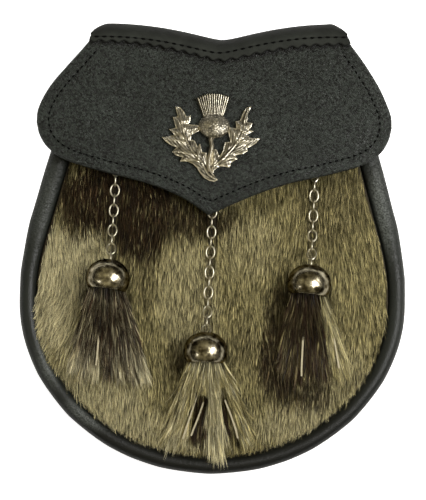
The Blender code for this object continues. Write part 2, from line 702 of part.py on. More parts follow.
def make_anchor(tassel, finish):
    """A small round base on the fur front with a wire eye that tapers to a V where the first link hangs."""
    eye = chain_places(tassel)[-1]
    base_y = eye.y + ANCHOR_EYE_LENGTH
    lay = surface_turn(eye.x, base_y)
    lifted = lay @ Vector((0, 0, GAP + ANCHOR_THICKNESS / 2))
    base = Vector((eye.x, base_y, front_height(eye.x, base_y))) + lifted
    name = "chain_anchor_" + tassel["side"]
    disc = cylinder(name, ANCHOR_RADIUS, ANCHOR_THICKNESS, 10, Matrix.Translation(base) @ lay, finish)
    upright = lies_flat(tassel, tassel["links"])
    half = (ANCHOR_UPRIGHT_WIDTH if upright else ANCHOR_EYE_WIDTH) / 2
    right = (ANCHOR_EYE_APEX, (half, ANCHOR_EYE_LENGTH * 0.8), (half * 0.6, ANCHOR_EYE_LENGTH))
    corners = [(0, 0, 0)] + [(x, y, 0) for x, y in right] + [(-x, y, 0) for x, y in reversed(right)]
    wire = new_object("eye_" + tassel["side"], wire_mesh("eye", corners, LINK_WIRE / 2, True), finish)
    drop = 0 if upright else base.z - eye.z
    lean = Matrix.Rotation(math.atan2(drop, ANCHOR_EYE_LENGTH), 4, "X")
    wire.matrix_world = Matrix.Translation(eye) @ lean @ Matrix.Rotation(math.pi / 2 * upright, 4, "Y")
    return fuse(disc, [wire])


def cap_profile():
    """Closed (radius, height) profile of the bell's wall, from the hole at its apex to its mouth."""
    top = CAP_LENGTH / 2
    dome = 0.0092
    outer = []
    for angle in (20, 40, 60, 90):
        bend = math.radians(angle)
        outer.append((CAP_RADIUS * math.sin(bend), top - dome + dome * math.cos(bend)))
    outer.insert(0, (CAP_HOLE_RADIUS, top - 0.0004))
    outer += [(CAP_RADIUS * 0.94, top - 0.0128), (CAP_RADIUS * 0.80, -top)]
    inner = [(radius - CAP_WALL, height) for radius, height in outer[:0:-1]]
    inner[-1] = (CAP_HOLE_RADIUS, top - 0.0004 - CAP_WALL)
    return outer + inner


def make_cap(tassel, finish):
    name = "tassel_cap_" + tassel["side"]
    cap = new_object(name, turned_mesh(name, cap_profile(), CAP_SIDES), finish)
    cap.matrix_world = cap_frame(tassel)
    across = Matrix.Rotation(math.pi / 2 * (not tassel["flat_end"]), 4, "Y")
    place = Matrix.Translation((0, CAP_LENGTH / 2 - CAP_PIN_DEPTH, 0)) @ across
    pin = cylinder("pin_" + tassel["side"], CAP_PIN_RADIUS, 2 * CAP_HOLE_RADIUS + CAP_WALL, 8, place, finish)
    pin.matrix_world = cap_frame(tassel)
    return fuse(cap, [pin])


def strip_mesh(name, tassel, share_across, layer, length):
    """One strip of hide with its fur: it leaves the head, fans out and sinks to the fur front."""
    across, along, level = STRIP_ROOT
    root = cap_frame(tassel) @ Vector((across * share_across, along, level * layer))
    angle = tassel["spread"] * share_across + tassel["lean"]
    rest = STRIP_THICKNESS * (1.7 if layer > 0 else 0.6) + GAP
    points = []
    for share in steps(0, 1, STRIP_SECTIONS):
        dx, dy = turned(0, -length * share, angle)
        x, y = root.x + dx, root.y + dy
        floor = front_height(x, y) + rest
        height = max(floor, root.z + (floor - root.z) * smooth_step(share, 0.12, 0.85))
        width = STRIP_WIDTH * (0.60 + 0.55 * math.sin(math.pi * min(share, 0.8)))
        thick = STRIP_THICKNESS * (1 - 0.35 * share)
        ax, ay = turned(1, 0, angle)
        for side, lift in ((-1, -1), (1, -1), (1, 1), (-1, 1)):
            points.append((x + ax * side * width / 2, y + ay * side * width / 2, height + lift * thick / 2))
    faces = [(0, 1, 2, 3), tuple(reversed(range(4 * STRIP_SECTIONS, 4 * STRIP_SECTIONS + 4)))]
    for s in range(STRIP_SECTIONS):
        for k in range(4):
            faces.append((4 * s + k, 4 * s + 4 + k, 4 * s + 4 + (k + 1) % 4, 4 * s + (k + 1) % 4))
    shape = bmesh.new()
    shape.from_mesh(mesh_from(name, points, faces))
    return mesh_of(name, shape)


def make_tassel(tassel, finish):
    """A head that fills the cap, with two layers of fur strips fanned out of it."""
    name = "tassel_" + tassel["side"]
    middle = CAP_LENGTH / 2 - (HEAD_TOP + HEAD_BOTTOM) / 2
    place = Matrix.Translation((0, middle, 0)) @ Matrix.Rotation(math.pi / 2, 4, "X")
    head = cylinder(name, HEAD_RADIUS, HEAD_BOTTOM - HEAD_TOP, CAP_SIDES, place, finish)
    head.matrix_world = cap_frame(tassel)
    strips = []
    for count, layer in STRIP_LAYERS:
        for i, share in enumerate(steps(-1, 1, count - 1)):
            label = "strip_%s_%d_%d" % (tassel["side"], layer, i)
            mesh = strip_mesh(label, tassel, share, layer, tassel["reach"] * (1 - 0.05 * (i % 2)))
            strips.append(new_object(label, mesh, finish))
    return fuse(head, strips)


def on_flap(mesh):
    """Moves a badge mesh to its place, and bends it to the flap under it."""
    for vertex in mesh.vertices:
        vertex.co.x += BADGE_CENTRE[0]
        vertex.co.y += BADGE_CENTRE[1]
        vertex.co.z += flap_height(vertex.co.x, vertex.co.y) + BADGE_GAP
    return mesh


def in_metres(points):
    return [Vector((x / 1000, y / 1000)) for x, y in points]


def leaf_mesh(name, outline, rib):
    """A leaf with a flat back, whose face rises from a thin edge to a raised midrib."""
    count = len(outline)
    edges = [(count + i, count + i + 1) for i in range(len(rib) - 1)]
    flat, _, triangles, *_ = delaunay_2d_cdt(in_metres(outline + rib), edges, [tuple(range(count))], 1, 1e-7)
    on_rib = in_metres(rib)
    points = []
    for x, y in flat:
        points.append((x, y, 0))
    for x, y in flat:
        ridge = min((Vector((x, y)) - place).length for place in on_rib) < 1e-6
        points.append((x, y, LEAF_RIB if ridge else LEAF_EDGE))
    total = len(flat)
    faces = [tuple(reversed(face)) for face in triangles]
    faces += [tuple(corner + total for corner in face) for face in triangles]
    seen = {(face[i], face[(i + 1) % 3]) for face in triangles for i in range(3)}
    faces += [(a, b, b + total, a + total) for a, b in seen if (b, a) not in seen]
    shape = bmesh.new()
    shape.from_mesh(mesh_from(name, points, faces))
    return on_flap(mesh_of(name, shape))


def crown_mesh():
    """The thistle's flared crown: ribs side by side, from a narrow foot to a wide top."""
    count = 2 * CROWN_RIBS
    foot = curve_through(in_metres(CROWN_FOOT), count)
    top = curve_through(in_metres(CROWN_TOP), count)
    points = []
    for i in range(count + 1):
        height = CROWN_HEIGHTS[i % 2]
        points += [(*foot[i], 0), (*foot[i], height), (*top[i], height), (*top[i], 0)]
    faces = [(0, 1, 2, 3), tuple(reversed(range(4 * count, 4 * count + 4)))]
    for i in range(count):
        for k in range(4):
            turn = (k + 1) % 4
            faces.append((4 * i + k, 4 * i + 4 + k, 4 * i + 4 + turn, 4 * i + turn))
    shape = bmesh.new()
    shape.from_mesh(mesh_from("crown", points, faces))
    return on_flap(mesh_of("crown", shape))


def ball_mesh():
    """The thistle's round head: an ellipsoid cut off flat at the back."""
    ball = {key: value / 1000 for key, value in THISTLE_BALL.items()}
    shape = bmesh.new()
    size = Matrix.Diagonal((ball["half_width"], ball["half_height"], ball["rise"], 1))
    place = Matrix.Translation((ball["x"], ball["y"], ball["middle"])) @ size
    bmesh.ops.create_uvsphere(shape, u_segments=14, v_segments=8, radius=1, matrix=place)
    low = [face for face in shape.faces if max(vert.co.z for vert in face.verts) < ball["middle"] - 1e-6]
    bmesh.ops.delete(shape, geom=low, context="FACES")
    rim_edges = [edge for edge in shape.edges if edge.is_boundary]
    grown = bmesh.ops.extrude_edge_only(shape, edges=rim_edges)["geom"]
    for vert in grown:
        if isinstance(vert, bmesh.types.BMVert):
            vert.co.z = 0
    bmesh.ops.contextual_create(shape, geom=[edge for edge in shape.edges if edge.is_boundary])
    return on_flap(mesh_of("ball", shape))


def stem_mesh():
    path = [(x, y, STEM_RADIUS) for x, y in in_metres(STEM_PATH)]
    return on_flap(wire_mesh("stem", path, STEM_RADIUS, False))


def make_badge(finish):
    """The cast thistle: leaves, stem, round head and crown in one piece."""
    badge = new_object("thistle_badge", leaf_mesh("left_leaf", LEFT_LEAF, LEFT_RIB), finish)
    right = new_object("right_leaf", leaf_mesh("right_leaf", RIGHT_LEAF, RIGHT_RIB), finish)
    stem = new_object("stem", stem_mesh(), finish)
    ball = new_object("ball", ball_mesh(), finish)
    crown = new_object("crown", crown_mesh(), finish)
    return fuse(badge, [right, stem, ball, crown])


def main():
    for old in list(bpy.data.objects):
        bpy.data.objects.remove(old)
    calf = material("black_calf", "3a3b37", 0.5)
    grained = material("grained_leather", "30332e", 0.6)
    soft = material("soft_black_leather", "3d3e3a", 0.55)
    fur = material("seal_fur", "6e6643", 0.9)
    dark_fur = material("dark_fur", "443b2b", 0.9)
    nickel = material("antique_nickel", "686452", 0.35, 1)
    polished = material("polished_nickel", "6b6450", 0.12, 1)
    make_back_panel(calf)
    make_gusset(calf)
    make_front(fur)
    make_flap(grained)
    make_hinge_strip(soft)
    make_stud(nickel)
    for side, x in BELT_LOOPS:
        make_belt_loop(side, x, calf)
    link = wire_mesh("link", link_path(), LINK_WIRE / 2, True)
    link.materials.append(nickel)
    for tassel in TASSELS:
        make_anchor(tassel, nickel)
        make_chain(tassel, link)
        make_cap(tassel, polished)
        make_tassel(tassel, dark_fur)
    make_badge(nickel)


main()
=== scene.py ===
import math

import bpy
import numpy as np
from mathutils import Matrix, Vector, noise
from mathutils.geometry import delaunay_2d_cdt


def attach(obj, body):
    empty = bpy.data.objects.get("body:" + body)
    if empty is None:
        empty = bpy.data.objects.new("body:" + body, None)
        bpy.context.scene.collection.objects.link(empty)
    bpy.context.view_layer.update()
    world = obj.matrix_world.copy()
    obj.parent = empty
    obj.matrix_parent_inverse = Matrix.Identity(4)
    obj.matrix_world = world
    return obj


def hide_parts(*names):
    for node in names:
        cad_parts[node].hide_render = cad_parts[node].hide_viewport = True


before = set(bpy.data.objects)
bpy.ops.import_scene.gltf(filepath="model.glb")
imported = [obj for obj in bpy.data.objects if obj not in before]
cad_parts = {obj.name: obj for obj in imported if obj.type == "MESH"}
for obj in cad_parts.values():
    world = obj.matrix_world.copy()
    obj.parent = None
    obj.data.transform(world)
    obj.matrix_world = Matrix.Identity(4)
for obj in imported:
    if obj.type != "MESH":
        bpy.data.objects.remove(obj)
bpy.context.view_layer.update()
print("frame loaded")

# the pouch's form in metres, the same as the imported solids
pouch = {
    "halfWidth": 0.0948,
    "widestY": -0.0253,
    "bowlDrop": 0.0853,
    "arcRadius": 0.156,
    "arcRise": 0.042,
    "mouthY": 0.086,
    "seamAtMouth": 0.0195,
    "seamAtBottom": 0.0315,
    "rollBelow": 0.0084,
    "rollAbove": 0.0102,
    "rollWidens": (-0.020, 0.020),
    "frontRoll": 0.0036,
    "backRoll": 0.0032,
    "sideDent": 0.0008,
    "lip": 0.0048,
    "lipDrop": 0.0018,
    "gussetWall": 0.002,
    "gap": 0.0003,
    "backFace": 0.0066,
    "backWall": 0.003,
    "edgeRise": 0.0015,
    "crown": 0.0095,
    "crownPowers": (2.2, 0.6),
    "mouthCrown": 0.45,
    "flattensFrom": 0.020,
    "meanReach": 0.088,
    "foldTop": 0.1106,
    "foldSlope": 0.014,
    "foldDip": 0.00795,
    "foldReach": 0.052,
    "foldSoftness": 0.005,
    "foldDipX": 0.0013,
    "flapLeans": ((-0.0006, 0.030, 0.060), (0.0022, 0.070, 0.100)),
}


def smoothStep(value, low, high):
    share = np.clip((value - low) / (high - low), 0, 1)
    return share * share * (3 - 2 * share)


def turned(x, y, degrees):
    angle = math.radians(degrees)
    return x * math.cos(angle) - y * math.sin(angle), x * math.sin(angle) + y * math.cos(angle)


def resampled(points, count):
    # evenly spaced points along a polyline
    points = np.array([tuple(point) for point in points], float)
    lengths = np.concatenate([[0], np.cumsum(np.linalg.norm(np.diff(points, axis=0), axis=1))])
    goals = np.linspace(0, lengths[-1], count)
    return np.stack([np.interp(goals, lengths, points[:, k]) for k in range(points.shape[1])], 1)


def curveThrough(points, count, steps=12):
    # evenly spaced points on a smooth curve through the points
    points = [np.array(point, float) for point in points]
    padded = [2 * points[0] - points[1], *points, 2 * points[-1] - points[-2]]
    dense = []
    for i in range(len(points) - 1):
        a, b, c, d = padded[i : i + 4]
        for t in np.linspace(0, 1, steps, endpoint=False):
            bent = (2 * a - 5 * b + 4 * c - d) * t**2 + (3 * b - a - 3 * c + d) * t**3
            dense.append(0.5 * (2 * b + (c - a) * t + bent))
    dense.append(points[-1])
    return resampled(dense, count)


def rollWidth(y):
    share = smoothStep(y, *pouch["rollWidens"])
    return pouch["rollBelow"] + share * (pouch["rollAbove"] - pouch["rollBelow"])


def seamHeight(y):
    share = (pouch["mouthY"] - y) / (pouch["mouthY"] - pouch["widestY"] + pouch["bowlDrop"])
    return pouch["seamAtMouth"] + share * (pouch["seamAtBottom"] - pouch["seamAtMouth"])


def halfWidth(y):
    rise = y - pouch["widestY"]
    onArc = np.clip(rise, 0, pouch["arcRise"])
    run = np.sqrt(pouch["arcRadius"] ** 2 - onArc**2)
    above = pouch["halfWidth"] - (pouch["arcRadius"] - run) - (np.maximum(rise, 0) - onArc) * onArc / run
    below = pouch["halfWidth"] * np.sqrt(np.clip(1 - (rise / pouch["bowlDrop"]) ** 2, 0, 1))
    return np.where(rise < 0, below, above)


def outwards(x, y, inset):
    # 0 in the middle of the front and 1 on its edge
    bowl = np.hypot(x / (pouch["halfWidth"] - inset), (y - pouch["widestY"]) / (pouch["bowlDrop"] - inset))
    side = np.abs(x) / np.maximum(halfWidth(y) - inset, 1e-4)
    return np.where(y < pouch["widestY"], bowl, side)


def frontHeight(x, y):
    inner, outer = pouch["crownPowers"]
    out = np.clip(outwards(x, y, rollWidth(y)), 0, 1)
    crown = pouch["crown"] * (1 - out**inner) ** outer
    flatten = 1 - (1 - pouch["mouthCrown"]) * smoothStep(y, pouch["flattensFrom"], pouch["mouthY"])
    return seamHeight(y) + pouch["edgeRise"] + crown * flatten


def foldTop(x):
    away = np.hypot(x - pouch["foldDipX"], pouch["foldSoftness"]) - pouch["foldSoftness"]
    dip = pouch["foldDip"] * np.clip(1 - away / pouch["foldReach"], 0, 1) ** 2
    return pouch["foldTop"] + pouch["foldSlope"] * x - dip


def flapLean(y):
    # how far the flap and its hinge stand to the right of the middle
    return sum(reach * smoothStep(y, low, high) for reach, low, high in pouch["flapLeans"])


def rimStations(count, upperSamples=80, lowerSamples=120):
    # points and inward normals round the pouch's U outline, from the left mouth to the right mouth
    upper = [(float(halfWidth(y)), y) for y in np.linspace(pouch["mouthY"], pouch["widestY"], upperSamples)]
    lower = [
        (pouch["halfWidth"] * math.cos(angle), pouch["widestY"] - pouch["bowlDrop"] * math.sin(angle))
        for angle in np.linspace(0, math.pi / 2, lowerSamples)[1:]
    ]
    right = upper + lower
    points = resampled([(-x, y) for x, y in right] + right[-2::-1], count)
    along = np.gradient(points, axis=0)
    along /= np.linalg.norm(along, axis=1)[:, None]
    return points, np.stack([-along[:, 1], along[:, 0]], 1)


def patchField(x, y, patches, soft=0.7, clearFrom=1.15):
    # patches are (x, y, half width, half height, strength); each fades out from soft to clearFrom, in shares
    # of its half width and height
    clear = np.ones_like(x)
    for px, py, rx, ry, strength in patches:
        reach = np.hypot((x - px) / rx, (y - py) / ry)
        clear *= 1 - strength * (1 - smoothStep(reach, soft, clearFrom))
    return 1 - clear


def distanceTo(places, line):
    # distance from each place to an open polyline, all in 2-D
    places, line = np.asarray(places, float), np.asarray(line, float)
    found = np.full(len(places), np.inf)
    for first, second in zip(line, line[1:]):
        run = second - first
        share = np.clip(((places - first) @ run) / max(run @ run, 1e-12), 0, 1)
        found = np.minimum(found, np.linalg.norm(places - first - share[:, None] * run, axis=1))
    return found


def deselectAll():
    bpy.ops.object.select_all(action="DESELECT")


def selectOnly(piece):
    deselectAll()
    piece.select_set(True)
    bpy.context.view_layer.objects.active = piece


def newPiece(name, mesh):
    piece = bpy.data.objects.new(name, mesh)
    bpy.context.scene.collection.objects.link(piece)
    return piece


def flatPlaces(piece):
    return np.array([vertex.co[:2] for vertex in piece.data.vertices])


def setValues(piece, name, values):
    # one number for each point, which the materials read as an attribute
    layer = piece.data.attributes.new(name, "FLOAT", "POINT")
    layer.data.foreach_set("value", np.asarray(values, np.float32))


def laidGrid(name, columns, rows, place):
    # a grid primitive whose points are laid where place(u, v) says
    deselectAll()
    bpy.ops.mesh.primitive_grid_add(x_subdivisions=columns, y_subdivisions=rows, size=1, calc_uvs=True)
    piece = bpy.context.object
    piece.name = piece.data.name = name
    flat = np.empty(len(piece.data.vertices) * 3)
    piece.data.vertices.foreach_get("co", flat)
    flat = flat.reshape(-1, 3)
    laid = np.stack(np.broadcast_arrays(*place(flat[:, 0] + 0.5, flat[:, 1] + 0.5)), 1)
    piece.data.vertices.foreach_set("co", laid.ravel())
    piece.data.update()
    return piece


def inEditMode(piece, *steps):
    # runs edit mode operators with everything selected
    selectOnly(piece)
    bpy.ops.object.mode_set(mode="EDIT")
    bpy.ops.mesh.select_all(action="SELECT")
    for operator, settings in steps:
        operator(**settings)
    bpy.ops.object.mode_set(mode="OBJECT")


def mergedOutwards(piece, threshold=1e-6):
    inEditMode(
        piece,
        (bpy.ops.mesh.remove_doubles, {"threshold": threshold}),
        (bpy.ops.mesh.normals_make_consistent, {"inside": False}),
    )


def facingUp(piece):
    # an open sheet whose faces look out of the front before it gets its wall
    if sum(face.normal.z * face.area for face in piece.data.polygons) < 0:
        inEditMode(piece, (bpy.ops.mesh.flip_normals, {}))


def withModifier(piece, kind, **settings):
    selectOnly(piece)
    modifier = piece.modifiers.new(kind.title(), kind)
    for key, value in settings.items():
        setattr(modifier, key, value)
    bpy.ops.object.modifier_apply(modifier=modifier.name)


def joined(name, pieces):
    deselectAll()
    for piece in pieces:
        piece.select_set(True)
    bpy.context.view_layer.objects.active = pieces[0]
    bpy.ops.object.join()
    pieces[0].name = pieces[0].data.name = name
    return pieces[0]


def placedCopy(model, name, place):
    copy = newPiece(name, model.data.copy())
    copy.data.transform(place)
    return copy


def finished(piece, finish, nodes=(), smoothAngle=40):
    piece.data.materials.clear()
    piece.data.materials.append(finish)
    selectOnly(piece)
    if smoothAngle:
        bpy.ops.object.shade_smooth_by_angle(angle=math.radians(smoothAngle))
    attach(piece, "root")
    if nodes:
        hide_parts(*nodes)
    return piece


def linear(colour):
    # an sRGB hex colour as the linear red, green, blue and alpha that a node takes
    channels = [int(colour[i : i + 2], 16) / 255 for i in (1, 3, 5)]
    return (*(c / 12.92 if c <= 0.04045 else ((c + 0.055) / 1.055) ** 2.4 for c in channels), 1)


def hue(colour):
    return np.array(linear(colour)[:3])


def newFinish(name, colour, **sockets):
    finish = bpy.data.materials.new(name)
    finish.use_nodes = True
    shader = finish.node_tree.nodes["Principled BSDF"]
    shader.inputs["Base Color"].default_value = linear(colour)
    finish.diffuse_color = linear(colour)
    for socket, value in sockets.items():
        shader.inputs[socket.replace("_", " ")].default_value = value
    return finish, shader


def feed(finish, node, links):
    # gives each input a value or an output; a whole node stands for its first output in use
    for socket, value in links.items():
        if isinstance(value, bpy.types.Node):
            value = next(output for output in value.outputs if output.enabled)
        if isinstance(value, bpy.types.NodeSocket):
            finish.node_tree.links.new(value, node.inputs[socket])
        else:
            node.inputs[socket].default_value = value


def addNode(finish, kind, links, **settings):
    node = finish.node_tree.nodes.new("ShaderNode" + kind)
    for key, value in settings.items():
        setattr(node, key, value)
    feed(finish, node, links)
    return node


# drum-dyed calf, smooth and waxed: a soft sheen on the rolls, partly painted into the colour, a painted shade
# at the bottom, and fine creases across them
def makeCalf():
    finish, shader = newFinish("drumDyedCalf", "#1b1d1a", Roughness=0.46, Specular_IOR_Level=0.4)
    spot = addNode(finish, "TexCoord", {}).outputs
    # clouds of dye 22 mm across
    cloud = addNode(finish, "TexNoise", {"Vector": spot["Object"], "Scale": 45.0, "Detail": 4.0})
    tone = addNode(finish, "Mix", {0: cloud, 6: linear("#131512"), 7: linear("#272a26")}, data_type="RGBA")
    place = addNode(finish, "SeparateXYZ", {"Vector": spot["Object"]})
    # painted shade: the bottom is painted darker, down to a quarter of its tone, as it faces away from the
    # light
    depth = addNode(finish, "MapRange",
                    {"Value": place.outputs["Y"], "From Min": -0.095, "From Max": -0.035, "To Min": 0.25})
    dyed = addNode(finish, "Mix", {0: 1.0, 6: tone, 7: depth}, data_type="RGBA", blend_type="MULTIPLY")
    # painted sheen: where the roll's top faces up, patches are painted paler, and the grain breaks them up
    facing = addNode(finish, "SeparateXYZ", {"Vector": spot["Normal"]})
    crest = addNode(finish, "MapRange", {"Value": facing.outputs["Z"], "From Min": 0.55, "From Max": 1.0},
                    interpolation_type="SMOOTHSTEP")
    sheenPatch = addNode(finish, "Attribute", {}, attribute_name="rubbed")
    wear = addNode(finish, "TexNoise", {"Vector": spot["Object"], "Scale": 1300.0, "Detail": 2.0})
    rubbed = addNode(finish, "MapRange", {"Value": wear, "From Min": 0.35, "From Max": 0.70, "To Min": 0.05})
    for share in (crest, sheenPatch.outputs["Fac"]):
        rubbed = addNode(finish, "Math", {0: rubbed, 1: share}, operation="MULTIPLY")
    # the paler colour of the painted sheen
    withPaintedSheen = addNode(finish, "Mix", {0: rubbed, 6: dyed, 7: linear("#71756f")}, data_type="RGBA")
    # creases run across the roll 1.2 mm apart, so their pattern is long across the UV map and short along it;
    # the finest real ones are closer and don't show
    run = addNode(finish, "Mapping", {"Vector": spot["UV"], "Scale": (420.0, 16.0, 1.0)})
    crease = addNode(finish, "TexNoise", {"Vector": run, "Scale": 1.0, "Detail": 3.0, "Distortion": 0.6})
    # the real pores are about 0.2 mm apart and too fine to show, so they are drawn 0.7 mm apart
    grain = addNode(finish, "TexVoronoi", {"Vector": spot["Object"], "Scale": 1500.0})
    upper = addNode(finish, "MapRange",
                    {"Value": place.outputs["Y"], "From Min": -0.03, "From Max": 0.03, "To Min": 0.25})
    creased = addNode(finish, "Math", {0: crease, 1: upper}, operation="MULTIPLY")
    wrinkles = addNode(finish, "Bump", {"Height": creased, "Strength": 0.8, "Distance": 0.001})
    pores = addNode(finish, "Bump",
                    {"Height": grain, "Strength": 0.4, "Distance": 0.0002, "Normal": wrinkles})
    rough = addNode(finish, "MapRange", {"Value": cloud, "To Min": 0.36, "To Max": 0.56})
    feed(finish, shader, {"Base Color": withPaintedSheen, "Normal": pores, "Roughness": rough})
    return finish


# pebbled cowhide, embossed with 0.8 mm pebbles and dyed through: matt charcoal, each pebble rubbed to a tone
# of its own
def makePebbled():
    finish, shader = newFinish("pebbledCowhide", "#232521", Roughness=0.55, Specular_IOR_Level=0.48)
    spot = addNode(finish, "TexCoord", {}).outputs
    level = addNode(finish, "Mapping", {"Vector": spot["Object"], "Scale": (1.0, 1.0, 0.3)})
    warp = addNode(finish, "TexNoise", {"Vector": spot["Object"], "Scale": 900.0, "Detail": 1.0})
    bent = addNode(finish, "VectorMath", {0: warp.outputs["Color"], 3: 0.0006}, operation="SCALE")
    moved = addNode(finish, "VectorMath", {0: level, 1: bent}, operation="ADD")
    pebble = addNode(finish, "TexVoronoi", {"Vector": moved, "Scale": 1250.0}, feature="F1")
    valley = addNode(finish, "TexVoronoi", {"Vector": moved, "Scale": 1250.0}, feature="DISTANCE_TO_EDGE")
    ripple = addNode(finish, "TexNoise", {"Vector": spot["Object"], "Scale": 2100.0, "Detail": 2.0})
    cloud = addNode(finish, "TexNoise", {"Vector": spot["Object"], "Scale": 55.0, "Detail": 4.0})
    edge = addNode(finish, "Attribute", {}, attribute_name="edgeDistance")
    hingeLine = addNode(finish, "Attribute", {}, attribute_name="hingeDistance")
    # the thread, 5.8 mm in from the edge, pulls a shallow channel into the leather, and the channel is
    # painted darker as shade
    away = addNode(finish, "Math", {0: edge.outputs["Fac"], 1: 0.0058}, operation="SUBTRACT")
    near = addNode(finish, "Math", {0: away}, operation="ABSOLUTE")
    channel = addNode(finish, "MapRange", {"Value": near, "From Min": 0.0, "From Max": 0.0007},
                      interpolation_type="SMOOTHSTEP")
    tone = addNode(finish, "Mix", {0: cloud, 6: linear("#141714"), 7: linear("#272b27")}, data_type="RGBA")
    own = addNode(finish, "SeparateColor", {"Color": pebble.outputs["Color"]})
    rubbed = addNode(finish, "MapRange", {"Value": own, "To Max": 2.3})
    dyed = addNode(finish, "Mix", {0: 1.0, 6: tone, 7: rubbed}, data_type="RGBA", blend_type="MULTIPLY")
    shade = addNode(finish, "MapRange", {"Value": channel, "To Min": 0.7})
    # painted shadow: the flap is painted darker just below the hinge's pinked edge
    paintedHingeShadow = addNode(finish, "MapRange",
                    {"Value": hingeLine.outputs["Fac"], "From Min": 0.0002, "From Max": 0.0017,
                     "To Min": 0.1}, interpolation_type="SMOOTHSTEP")
    both = addNode(finish, "Math", {0: shade, 1: paintedHingeShadow}, operation="MULTIPLY")
    dark = addNode(finish, "Mix", {0: 1.0, 6: dyed, 7: both}, data_type="RGBA", blend_type="MULTIPLY")
    gloss = addNode(finish, "MapRange", {"Value": own.outputs[1], "To Min": 0.34, "To Max": 0.72})
    domes = addNode(finish, "MapRange", {"Value": valley, "From Min": 0.0, "From Max": 0.30},
                    interpolation_type="SMOOTHSTEP")
    pebbles = addNode(finish, "Bump", {"Height": domes, "Strength": 0.75, "Distance": 0.0003})
    fine = addNode(finish, "Bump", {"Height": ripple, "Strength": 0.4, "Distance": 0.0003, "Normal": pebbles})
    sunk = addNode(finish, "Bump", {"Height": channel, "Strength": 0.5, "Distance": 0.0003, "Normal": fine})
    feed(finish, shader, {"Base Color": dark, "Roughness": gloss, "Normal": sunk})
    return finish


# glove-soft nappa, folded over the top: satin black with small soft creases
def makeNappa():
    finish, shader = newFinish("softNappa", "#232521", Roughness=0.68, Specular_IOR_Level=0.12)
    spot = addNode(finish, "TexCoord", {}).outputs
    cloud = addNode(finish, "TexNoise",
                    {"Vector": spot["Object"], "Scale": 130.0, "Detail": 5.0, "Distortion": 0.4})
    tone = addNode(finish, "Mix", {0: cloud, 6: linear("#1b1c19"), 7: linear("#373934")}, data_type="RGBA")
    # painted shade: the fold is painted darker where its face turns up, and the pinked edge and the stitch
    # line darkest
    facing = addNode(finish, "SeparateXYZ", {"Vector": spot["Normal"]})
    foldPaintedShade = addNode(finish, "MapRange",
                   {"Value": facing.outputs["Y"], "From Min": 0.15, "From Max": 0.9, "To Min": 1.0,
                    "To Max": 0.4})
    line = addNode(finish, "Attribute", {}, attribute_name="seamDistance")
    seam = addNode(finish, "MapRange",
                   {"Value": line.outputs["Fac"], "From Min": 0.0002, "From Max": 0.0010, "To Min": 0.3},
                   interpolation_type="SMOOTHSTEP")
    both = addNode(finish, "Math", {0: foldPaintedShade, 1: seam}, operation="MULTIPLY")
    dyed = addNode(finish, "Mix", {0: 1.0, 6: tone, 7: both}, data_type="RGBA", blend_type="MULTIPLY")
    # pores 0.5 mm apart, coarser than the real ones so that they show
    pore = addNode(finish, "TexVoronoi", {"Vector": spot["Object"], "Scale": 1900.0})
    creases = addNode(finish, "Bump", {"Height": cloud, "Strength": 0.6, "Distance": 0.0012})
    pores = addNode(finish, "Bump", {"Height": pore, "Strength": 0.3, "Distance": 0.0002, "Normal": creases})
    feed(finish, shader, {"Base Color": dyed, "Normal": pores})
    return finish


# waxed linen thread, black: dull, with the twist as ribs 1 mm apart, twice as coarse as the real ones
def makeThread():
    finish, shader = newFinish("waxedThread", "#030303", Roughness=0.85, Specular_IOR_Level=0.1)
    spot = addNode(finish, "TexCoord", {}).outputs
    twist = addNode(finish, "TexWave", {"Vector": spot["Object"], "Scale": 600.0, "Distortion": 0.5},
                    bands_direction="DIAGONAL")
    ribs = addNode(finish, "Bump", {"Height": twist.outputs["Fac"], "Strength": 0.4, "Distance": 0.0002})
    feed(finish, shader, {"Normal": ribs})
    return finish


# tanned sealskin, flesh side and roots: a dark brown ground under the hair
def makeHide():
    finish, shader = newFinish("tannedSealHide", "#2b2418", Roughness=0.85)
    spot = addNode(finish, "TexCoord", {}).outputs
    cloud = addNode(finish, "TexNoise", {"Vector": spot["Object"], "Scale": 700.0, "Detail": 3.0})
    tone = addNode(finish, "Mix", {0: cloud, 6: linear("#17130c"), 7: linear("#3d3422")}, data_type="RGBA")
    nap = addNode(finish, "Bump", {"Height": cloud, "Strength": 0.6, "Distance": 0.0004})
    feed(finish, shader, {"Base Color": tone, "Normal": nap})
    return finish


# seal guard hair: each hair has its own colour, darker at the root, with a dry gloss
def makeHair(name):
    finish, shader = newFinish(name, "#6e6643", Roughness=0.5, Specular_IOR_Level=0.2)
    colour = addNode(finish, "Attribute", {}, attribute_name="hairColour")
    spot = addNode(finish, "TexCoord", {}).outputs
    # dirt in streaks 1 mm wide and 9 mm long, down the combed fur
    streaks = addNode(finish, "Mapping", {"Vector": spot["Object"], "Scale": (1.0, 0.12, 1.0)})
    dirt = addNode(finish, "TexNoise", {"Vector": streaks, "Scale": 900.0, "Detail": 2.0})
    weather = addNode(finish, "MapRange", {"Value": dirt, "To Min": 0.75, "To Max": 1.25})
    tone = addNode(finish, "Mix", {0: 1.0, 6: colour.outputs["Color"], 7: weather}, data_type="RGBA",
                   blend_type="MULTIPLY")
    feed(finish, shader, {"Base Color": tone})
    return finish


# cut edge of vegetable tanned hide: pale buff, dry and fibrous, with clumps of fibre 0.7 mm wide
def makeCutEdge():
    finish, shader = newFinish("cutHideEdge", "#8f8466", Roughness=0.8)
    spot = addNode(finish, "TexCoord", {}).outputs
    fibre = addNode(finish, "TexNoise", {"Vector": spot["Object"], "Scale": 1400.0, "Detail": 3.0})
    tone = addNode(finish, "Mix", {0: fibre, 6: linear("#93886a"), 7: linear("#dcd1b0")}, data_type="RGBA")
    fluff = addNode(finish, "Bump", {"Height": fibre, "Strength": 0.5, "Distance": 0.0003})
    feed(finish, shader, {"Base Color": tone, "Normal": fluff})
    return finish


